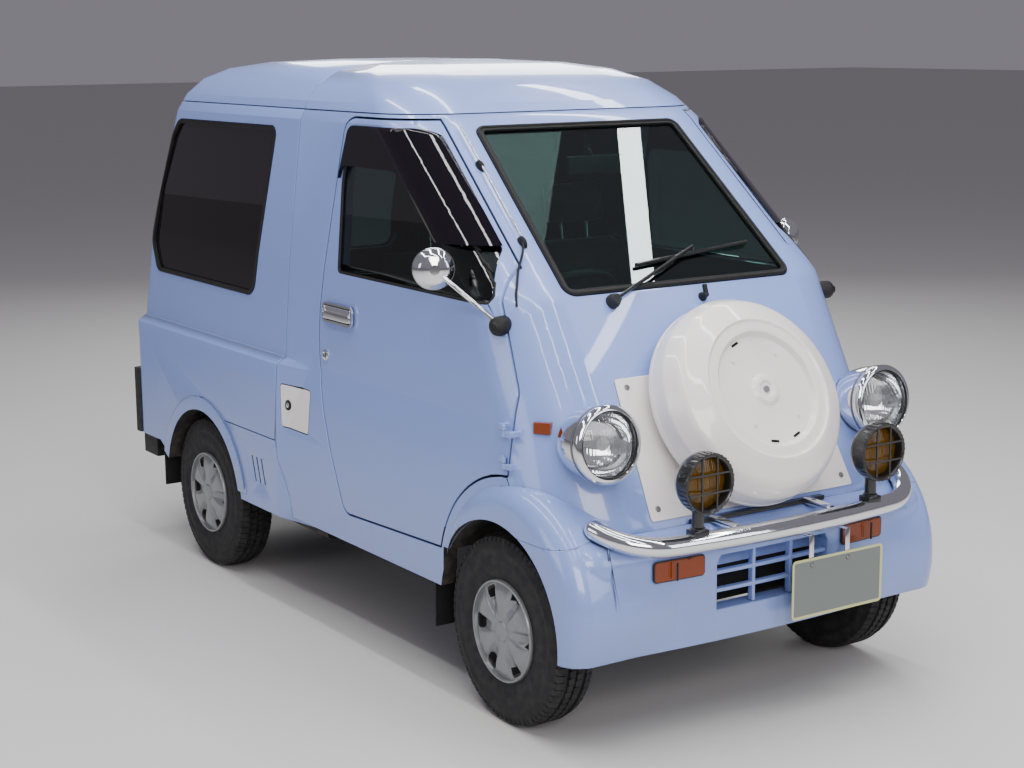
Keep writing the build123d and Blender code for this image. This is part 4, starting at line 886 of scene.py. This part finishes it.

# %% [markdown]
# ## Mirrors and handles
# The mirrors are chromed domes with a silvered glass, on a rubber boot at the foot of their stalk. The door handle is
# a chrome pull over a chrome dish whose sunken floor is near-black painted shade, with a key lock below it.

# %% Mirrors, handles and locks
HEADS = {"right": (727, -665, 1206), "left": (645, 665, 1196)}
TURN = math.radians(25)
MIRROR_RIM = [(53.2, -13.4), (56.6, -12.6), (57.6, -10), (57.6, -6), (56.6, -6), (56.0, -11), (53.2, -12.2)]
MIRROR_PANE = [(0, -13.0), (30, -12.9), (53.6, -12.5), (53.6, -11.8), (0, -11.8)]
BOOT = [(0, -20), (24, -20), (26, -14), (26, 14), (24.5, 21), (19, 27), (12, 31), (10, 36), (0, 37)]
DOOR_LOCK = [(0, -2), (17, -2), (17, 3.4), (15, 5.4), (11, 5.6), (10.4, 3), (3, 3), (0, 3)]
LID_RING = [(9, -2), (17, -2), (17, 2.6), (15, 4), (11, 4), (9, 2.6)]
LID_LOCK = [(0, -2), (9, -2), (9, 3.4), (7, 4.6), (3, 4.6), (2.6, 2), (0, 2)]
for hand, side in SIDES:
    joined(f"mirror_{hand}")
    door, head = f"door_{hand}", mm(*HEADS[hand])
    direction = (math.cos(TURN), side * math.sin(TURN), 0)
    turned(f"mirror_rim_{hand}", MIRROR_RIM, 64, head, direction, chrome_plate, door, closed=True)
    turned(f"mirror_pane_{hand}", MIRROR_PANE, 64, head, direction, mirror_glass, door)
    turned(f"mirror_boot_{hand}", BOOT, 32, mm(905, side * 570, 1068), (0.35, side * 0.94, 0), seal_rubber, door)
    dish, top = rounded_sheet(182, 60, 17, 6, 7)
    bmesh.ops.inset_region(dish, faces=[top], thickness=7 * MM)
    bmesh.ops.inset_region(dish, faces=[top], thickness=1 * MM, depth=-5 * MM)
    # Painted shade: the dish's sunken floor under the pull is near black.
    top.material_index = 1
    outward = (0, side, 0.05)
    handle = keep(f"handle_frame_{hand}", aim(dish, mm(78, side * 603.5, 999), outward), chrome_plate, door, 30)
    handle.data.materials.append(painted_shade_black)
    pull = aim(round_edges(rounded_sheet(158, 26, 9, 6, 9)[0], 2.5, 3), mm(78, side * 604, 992), outward)
    keep(f"handle_pull_{hand}", pull, chrome_plate, door)
    turned(f"door_lock_{hand}", DOOR_LOCK, 40, mm(-7, side * 603.2, 864), (0, side, 0.04), chrome_plate, door)
    # Painted shade: the key slot is a small near-black box where the slot is dark.
    keep(f"door_key_slot_shade_{hand}", boxes(((-7, side * 606, 864), (3, 2, 13))), painted_shade_black, door, 0)
lid_place = mm(-225, -625.5, 676), (0, -1, 0.1)
turned("fuel_lid_lock_ring", LID_RING, 40, *lid_place, seal_rubber, "fuel_lid", closed=True)
turned("fuel_lid_lock", LID_LOCK, 32, *lid_place, chrome_plate, "fuel_lid")

# %% [markdown]
# ## Aerial, washer jet and wiper
# A chromed rod aerial lies along the right windscreen pillar on two clips, with its lead tucked in at the foot. The
# washer jet is a small black nub on the cowl. The wiper keeps its CAD arm and gets a rubber lip.

# %% Aerial and washer jet
PILLAR_NORMAL = Vector((0.64, -0.12, 0.76))
ROD = [mm(452, -410, 1557), mm(573, -416, 1455), mm(686, -424, 1359), mm(798, -429, 1265)]
aerial = [p + PILLAR_NORMAL * 13 * MM for p in ROD]
bead("aerial_rod", aerial, 3.2, chrome_plate, closed=False)
lead = [aerial[-1], mm(830, -448, 1246), mm(868, -490, 1203), mm(905, -522, 1146), mm(921, -531, 1116)]
bead("aerial_foot_sleeve", lead, 3.4, seal_rubber, closed=False)
for number, place in enumerate((ROD[1], ROD[3])):
    clip = spun([(0, -4), (13, -4), (14, -1), (13, 6), (9, 15), (5, 18), (0, 18.6)], 24)
    bmesh.ops.scale(clip, vec=(0.75, 1.5, 1), verts=clip.verts)
    keep(f"aerial_clip_{number}", aim(clip, place, PILLAR_NORMAL, (1, 0, 0)), seal_rubber)
jet = spun([(0, -3), (13, -3), (13, 4), (10, 9), (8, 22), (3, 26), (0, 26.6)], 24)
merge(jet, round_edges(boxes(((0, 13, 22), (12, 30, 11), turn_by(12, "X"))), 2.5))
keep("washer_jet", aim(jet, mm(979, 48, 1100), NOSE_NORMAL), seal_rubber)
rolled("wiper", 0.8, 40)
blade = [mm(892, -118, 1189), mm(856, 309, 1220)]
bead("wiper_rubber", blade, 2.2, seal_rubber, shift=SCREEN_NORMAL * 0.5, closed=False)
turned("wiper_pivot_cap", [(0, -2), (20, -2), (20, 10), (17, 20), (10, 27), (0, 29)], 32, mm(972, -258, 1111),
       NOSE_NORMAL, trim_plastic)
print("aerial", round((aerial[0] - aerial[-1]).length, 3), "m")

# %% [markdown]
# ## Plates and lamps at the ends
# The plates are pressed sheet with a raised rim and stay blank. The tail lamps are black housings with red, orange and
# clear lenses, and the tailgate has a handle, a key lock and two plate lamps.


# %% Plates, tail lamps and tailgate fittings
def plate(name, x, y, z, side):
    """A blank pressed plate with a raised rim, in front (+1) or at the tail (-1)."""
    bm, front = rounded_sheet(328, 163, 12, 5, 2.0)
    bmesh.ops.inset_region(bm, faces=[front], thickness=6 * MM)
    bmesh.ops.inset_region(bm, faces=[front], thickness=1.5 * MM, depth=-0.9 * MM)
    for rim in set(bm.faces) - {front}:
        rim.material_index = 1
    obj = keep(name, aim(bm, mm(x, y, z), (side, 0, 0)), plate_paint, smooth=20)
    obj.data.materials.append(plate_rim_paint)
    return obj


front_plate = plate("front_plate_blank", 1398.6, 182, 364, 1)
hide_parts("number_plates")
plate("rear_plate_blank", -1430.6, 0, 492, -1)
for number, y in enumerate((87, 217)):
    strip = [((1396, y, 436), (3, 16, 145)), ((1366, y, 504.5), (62, 16, 4))]
    blocky(f"plate_strip_{number}", strip, 0.8, chrome_plate, smooth=30)
    turned(f"plate_bolt_{number}", [(0, 0), (6.5, 0), (6.5, 1.6), (5, 2.6), (0, 3)], 6, mm(1400.2, y + 1, 426),
           (1, 0, 0), raw_steel, smooth=20)
HOUSING_BACK, LENS_PROUD = -1430 * MM, 6 * MM
housing = rolled("tail_lamps", 1.5, 40)
for vert in housing.data.vertices:
    if vert.co.x < HOUSING_BACK:
        vert.co.x += LENS_PROUD
LENSES = {"stop": (528, 612, red_acrylic, "orange_lens"), "turn": (462, 522, orange_acrylic, "orange_lens"),
          "reverse": (394, 456, white_acrylic, "clear_glass")}
for hand, side in SIDES:
    for kind, (low, high, material, slot) in LENSES.items():
        lens_box = ((-1425.3, side * 595, (low + high) / 2), (29, 78, high - low))
        blocky(f"tail_lens_{kind}_{hand}", [lens_box], 5, material, segments=3)
    blocky(f"plate_lamp_{hand}", [((-1431, side * 74, 592), (16, 42, 15))], 4, trim_plastic, segments=3)
blocky("tailgate_handle", [((-1432.5, 0, 700), (13, 150, 26))], 5, chrome_plate, "tailgate", segments=3)
turned("tailgate_lock", [(0, -4), (13, -4), (13, 1.5), (11, 3.5), (3, 3.5), (2.6, 1.8), (0, 1.8)], 32,
       mm(-1431.5, 112, 700), (-1, 0, 0), chrome_plate, "tailgate")
rolled("rear_bumper", 3.0, 40)
rolled("mud_flaps", 1.0, 40)

# %% [markdown]
# ## Turn lamps and side slots
# The orange lamps on the apron keep their bowed solid, and a thin dark frame is run round each. Near-black backs of
# painted shade stand behind the grille and the slots of the skirts, so that no paint shows through them.

# %% Lamp bezels and dark backs
SLOT_Z = 428
rolled("turn_lamps", 1.2, 40)
# Painted shade: a near-black sheet behind the grille.
keep("grille_shade_back", boxes(((1262, 0, 413), (3, 400, 160))), painted_shade_black, smooth=0)
skirt = BVHTree.FromBMesh(merged("skirt_panels"))
for hand, side in SIDES:
    # Painted shade: near-black sheets behind the skirt slots.
    slot_shade = bmesh.new()
    for x in (-395, -428, -461):
        skin = skirt.ray_cast(mm(x + 16, side * 900, SLOT_Z), Vector((0, -side, 0)))[0].y / MM
        brick(slot_shade, (x, skin - side * 3.5, SLOT_Z), (8.6, 3, 84), turn_by(-16, "Y"))
    keep(f"skirt_slot_shade_back_{hand}", slot_shade, painted_shade_black, smooth=0)
    keep(f"turn_lamp_divider_{hand}", boxes(((1362, side * 340, 472), (4, 3.5, 47))), trim_plastic, smooth=0)
# Painted shadow: a black bead sunk in the gap round the fuel lid draws the gap's shadow line.
bead("fuel_lid_gap_shade", pane_outline("fuel_lid", (0, -1, 0))[0], 2.6, seal_rubber, shift=(0, 3.4, 0))
for hand, side in SIDES:
    lamp = on_side(pane_outline("turn_lamps", (1, 0, 0)), side)
    bead(f"turn_lamp_bezel_{hand}", lamp, 2.6, trim_plastic, shift=(-3, 0, 0))
    ring = spun([(67.4, 26), (69.5, 27), (69.5, 31), (67.4, 32)], 64, closed=True)
    keep(f"fog_inner_ring_{hand}", at_fog(ring, side), trim_plastic)

# %% [markdown]
# ## Seats
# A van seat is a foam pad under a sewn cover: air in the foam keeps it crowned, and the seams pull in the edges. Each
# pad is remeshed evenly and blown up with the cloth simulation, and its stitched channels are pressed in afterwards.

# %% Padded seat pieces
SEAT_ROWS = {"driver": (-425, 45), "passenger": (90, 520)}


def pad_form(low, high, shear=0.0, round_mm=30):
    """A block with generous edges between two corners in mm; shear leans its top back."""
    bm = boxes(([(a + b) / 2 for a, b in zip(low, high)], [b - a for a, b in zip(low, high)]))
    bmesh.ops.subdivide_edges(bm, edges=bm.edges, cuts=3, use_grid_fill=True)
    round_edges(bm, round_mm, 4, [e for e in bm.edges if e.calc_face_angle(0) > 0.5])
    for vert in bm.verts:
        vert.co.x -= (vert.co.z - low[2] * MM) * shear
    return bm


def take_shape(obj):
    """Make what the modifiers give the object's own mesh."""
    mesh = baked(obj)
    obj.modifiers.clear()
    obj.data = mesh
    return mesh


def inflate(obj, cap_mm):
    """Blow a pad up with air pressure, and limit how far its cover may move."""
    put(obj.modifiers.new("even_mesh", "REMESH"), mode="VOXEL", voxel_size=8 * MM)
    rest = [v.co.copy() for v in take_shape(obj).vertices]
    cloth = obj.modifiers.new("air", "CLOTH")
    put(cloth.settings, use_pressure=True, uniform_pressure_force=4.0).effector_weights.gravity = 0
    put(cloth.point_cache, frame_start=1, frame_end=20)
    for number in range(1, 21):
        bpy.context.scene.frame_set(number)
    for vert, start in zip(take_shape(obj).vertices, rest):
        step = vert.co - start
        if step.length > cap_mm * MM:
            vert.co = start + step.normalized() * cap_mm * MM
    bpy.context.scene.frame_set(1)


def press_channels(obj, axis, places, depth_mm, reach_mm):
    """Press sewn channels into a pad: lines across one axis at given places in mm."""
    for vert in obj.data.vertices:
        for place in places:
            away = abs(vert.co[axis] / MM - place) / reach_mm
            if away < 1:
                vert.co -= vert.normal * ((1 - away ** 2) ** 2 * depth_mm * MM)
    obj.data.update()


def padded_piece(name, bm, fill, cap_mm, *channels):
    """Make, blow up and sew one seat pad."""
    obj = keep(name, bm, seat_cloth, smooth=0)
    inflate(obj, cap_mm)
    dress(obj, seat_cloth)
    for channel in channels:
        press_channels(obj, *channel)
    obj.data.shade_smooth()
    put(obj.modifiers.new("soft_cover", "SUBSURF"), levels=1, render_levels=1)
    return obj


for who, (y0, y1) in SEAT_ROWS.items():
    middle = (y0 + y1) / 2
    cushion = pad_form((150, y0 + 10, 585), (580, y1 - 10, 680), 0, 26)
    seat = padded_piece(f"{who}_cushion", cushion, 0.7, 9, (0, (270, 380, 490), 4.5, 12),
                        (1, (y0 + 70, y1 - 70), 5, 11))
    back = pad_form((112, y0 + 18, 596), (192, y1 - 18, 1165), 0.228, 26)
    padded_piece(f"{who}_back", back, 0.7, 8, (2, (760, 860, 960, 1060), 4.5, 12), (1, (y0 + 76, y1 - 76), 5, 11))
    rest = pad_form((-12, middle - 106, 1214), (42, middle + 106, 1336), 0.06, 20)
    padded_piece(f"{who}_headrest", rest, 0.8, 6, (2, (1275,), 3, 12))
    for number, shift in enumerate((-50, 50)):
        post = [mm(20, middle + shift, 1150), mm(12, middle + shift, 1225)]
        bead(f"{who}_headrest_post_{number}", post, 6, chrome_plate, closed=False)
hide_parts("seats")
print("seat pads:", len(seat.data.vertices), "points in a cushion", "")

# %% [markdown]
# ## Behind the windscreen
# Through the glass one sees the top of the dashboard, the instrument hood and the steering wheel, all moulded in
# grained dark plastic. The open doors show the sills, which get a board and a ribbed rubber tread.

# %% Dashboard, steering wheel, inside mirror and sills
rolled("dashboard", 3.0, 40)
rolled("steering_wheel", 3.0, 40)
hood = boxes(((762, -185, 1084), (120, 300, 66)))
top = [v for v in hood.verts if v.co.z > 1100 * MM]
bmesh.ops.scale(hood, vec=(0.8, 0.86, 1), verts=top, space=Matrix.Translation(mm(-774, 185, 0)))
keep("instrument_hood", round_edges(hood, 16, 4), trim_plastic)
dials = bmesh.new()
for y in (-250, -185, -120):
    dial = spun([(0, 0), (22, 0), (24, 2), (26, 6), (28, 6), (28, -2), (0, -2)], 32)
    merge(dials, aim(dial, mm(708, y, 1084), (-1, 0, 0.12)))
keep("instrument_dials", dials, enamel_black)
for number, y in enumerate((-470, 30, 120, 470)):
    vent = [((722, y, 1020), (14, 74, 40))] + [((713, y, z), (6, 66, 2.2)) for z in (1008, 1016, 1024, 1032)]
    blocky(f"dash_vent_{number}", vent, 1.0, trim_plastic)
blocky("glovebox_lid", [((718, 300, 940), (10, 330, 84))], 4, trim_plastic, segments=3)
inside = round_edges(boxes(((548, 0, 1440), (14, 210, 56))), 6, 3)
merge(inside, aim(spun([(0, 0), (14, 0), (14, 3), (6, 8), (4.5, 60), (0, 60)], 20), mm(505, 0, 1487), (0.75, 0, -0.66)))
keep("inside_mirror", inside, trim_plastic)
for hand, side in SIDES:
    blocky(f"sill_board_{hand}", [((372, side * 581.3, 415), (476, 5, 36))], 0.8, enamel_blue, smooth=30)
    ribs = [((392, side * (549 + 9 * rib), 447.5), (384, 3, 2)) for rib in range(4)]
    blocky(f"sill_tread_{hand}", [((392, side * 562, 445.5), (392, 38, 3))] + ribs, 0.6, trim_plastic, smooth=30)

# %% [markdown]
# ## Floor, light and the model's bounds
# The stage is a plain pale floor that runs out of sight, under large soft panels. Long narrow strips overhead draw
# the bright lines that make enamel and chrome read as glossy.

# %% Stage and lights
floor_bm = bmesh.new()
bmesh.ops.create_grid(floor_bm, x_segments=2, y_segments=2, size=60)
floor_paint = finish("matt_studio_floor", Roughness=0.85, Base_Color=linear("#C9C8C6"))[0]
solid("studio_floor", floor_bm, floor_paint)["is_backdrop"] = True


def panel(name, place, target, size, energy, colour="#FFFFFF"):
    """A rectangular soft light aimed at a point, placed in mm."""
    light = put(bpy.data.lights.new(name, "AREA"), shape="RECTANGLE", size=size[0], size_y=size[1], energy=energy,
                color=linear(colour)[:3])
    aimed = (mm(*target) - mm(*place)).to_track_quat("-Z", "Y").to_euler()
    return put(linked(name, light), location=mm(*place), rotation_euler=aimed)


overhead = panel("overhead_panel", (900, -300, 5200), (200, 0, 600), (5.0, 5.0), 230)
overhead.visible_glossy = False
panel("key_panel", (7000, -2800, 3600), (300, -100, 800), (3.0, 2.4), 200, "#FFFAF6")
panel("side_fill", (200, -7200, 2600), (-200, 0, 700), (4.0, 2.0), 70, "#F6F4FF")
panel("front_fill", (7200, 2600, 2600), (600, 0, 700), (3.0, 3.0), 90, "#F2F4FF")
panel("rear_rim", (-5200, 3400, 3800), (-200, 0, 900), (3.0, 2.0), 130)
for number, y in enumerate((-2500, -900, 700, 2300)):
    panel(f"ceiling_strip_{number}", (1500, y, 4300), (1500, y, 0), (7.0, 0.14), 62)
world = put(bpy.data.worlds.new("pale_studio"), use_nodes=True)
background = world.node_tree.nodes["Background"].inputs
background["Color"].default_value = linear("#BDB8C4")
background["Strength"].default_value = 0.42
bpy.context.scene.world = world

# %% Measure the model's bounds
low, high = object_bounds()
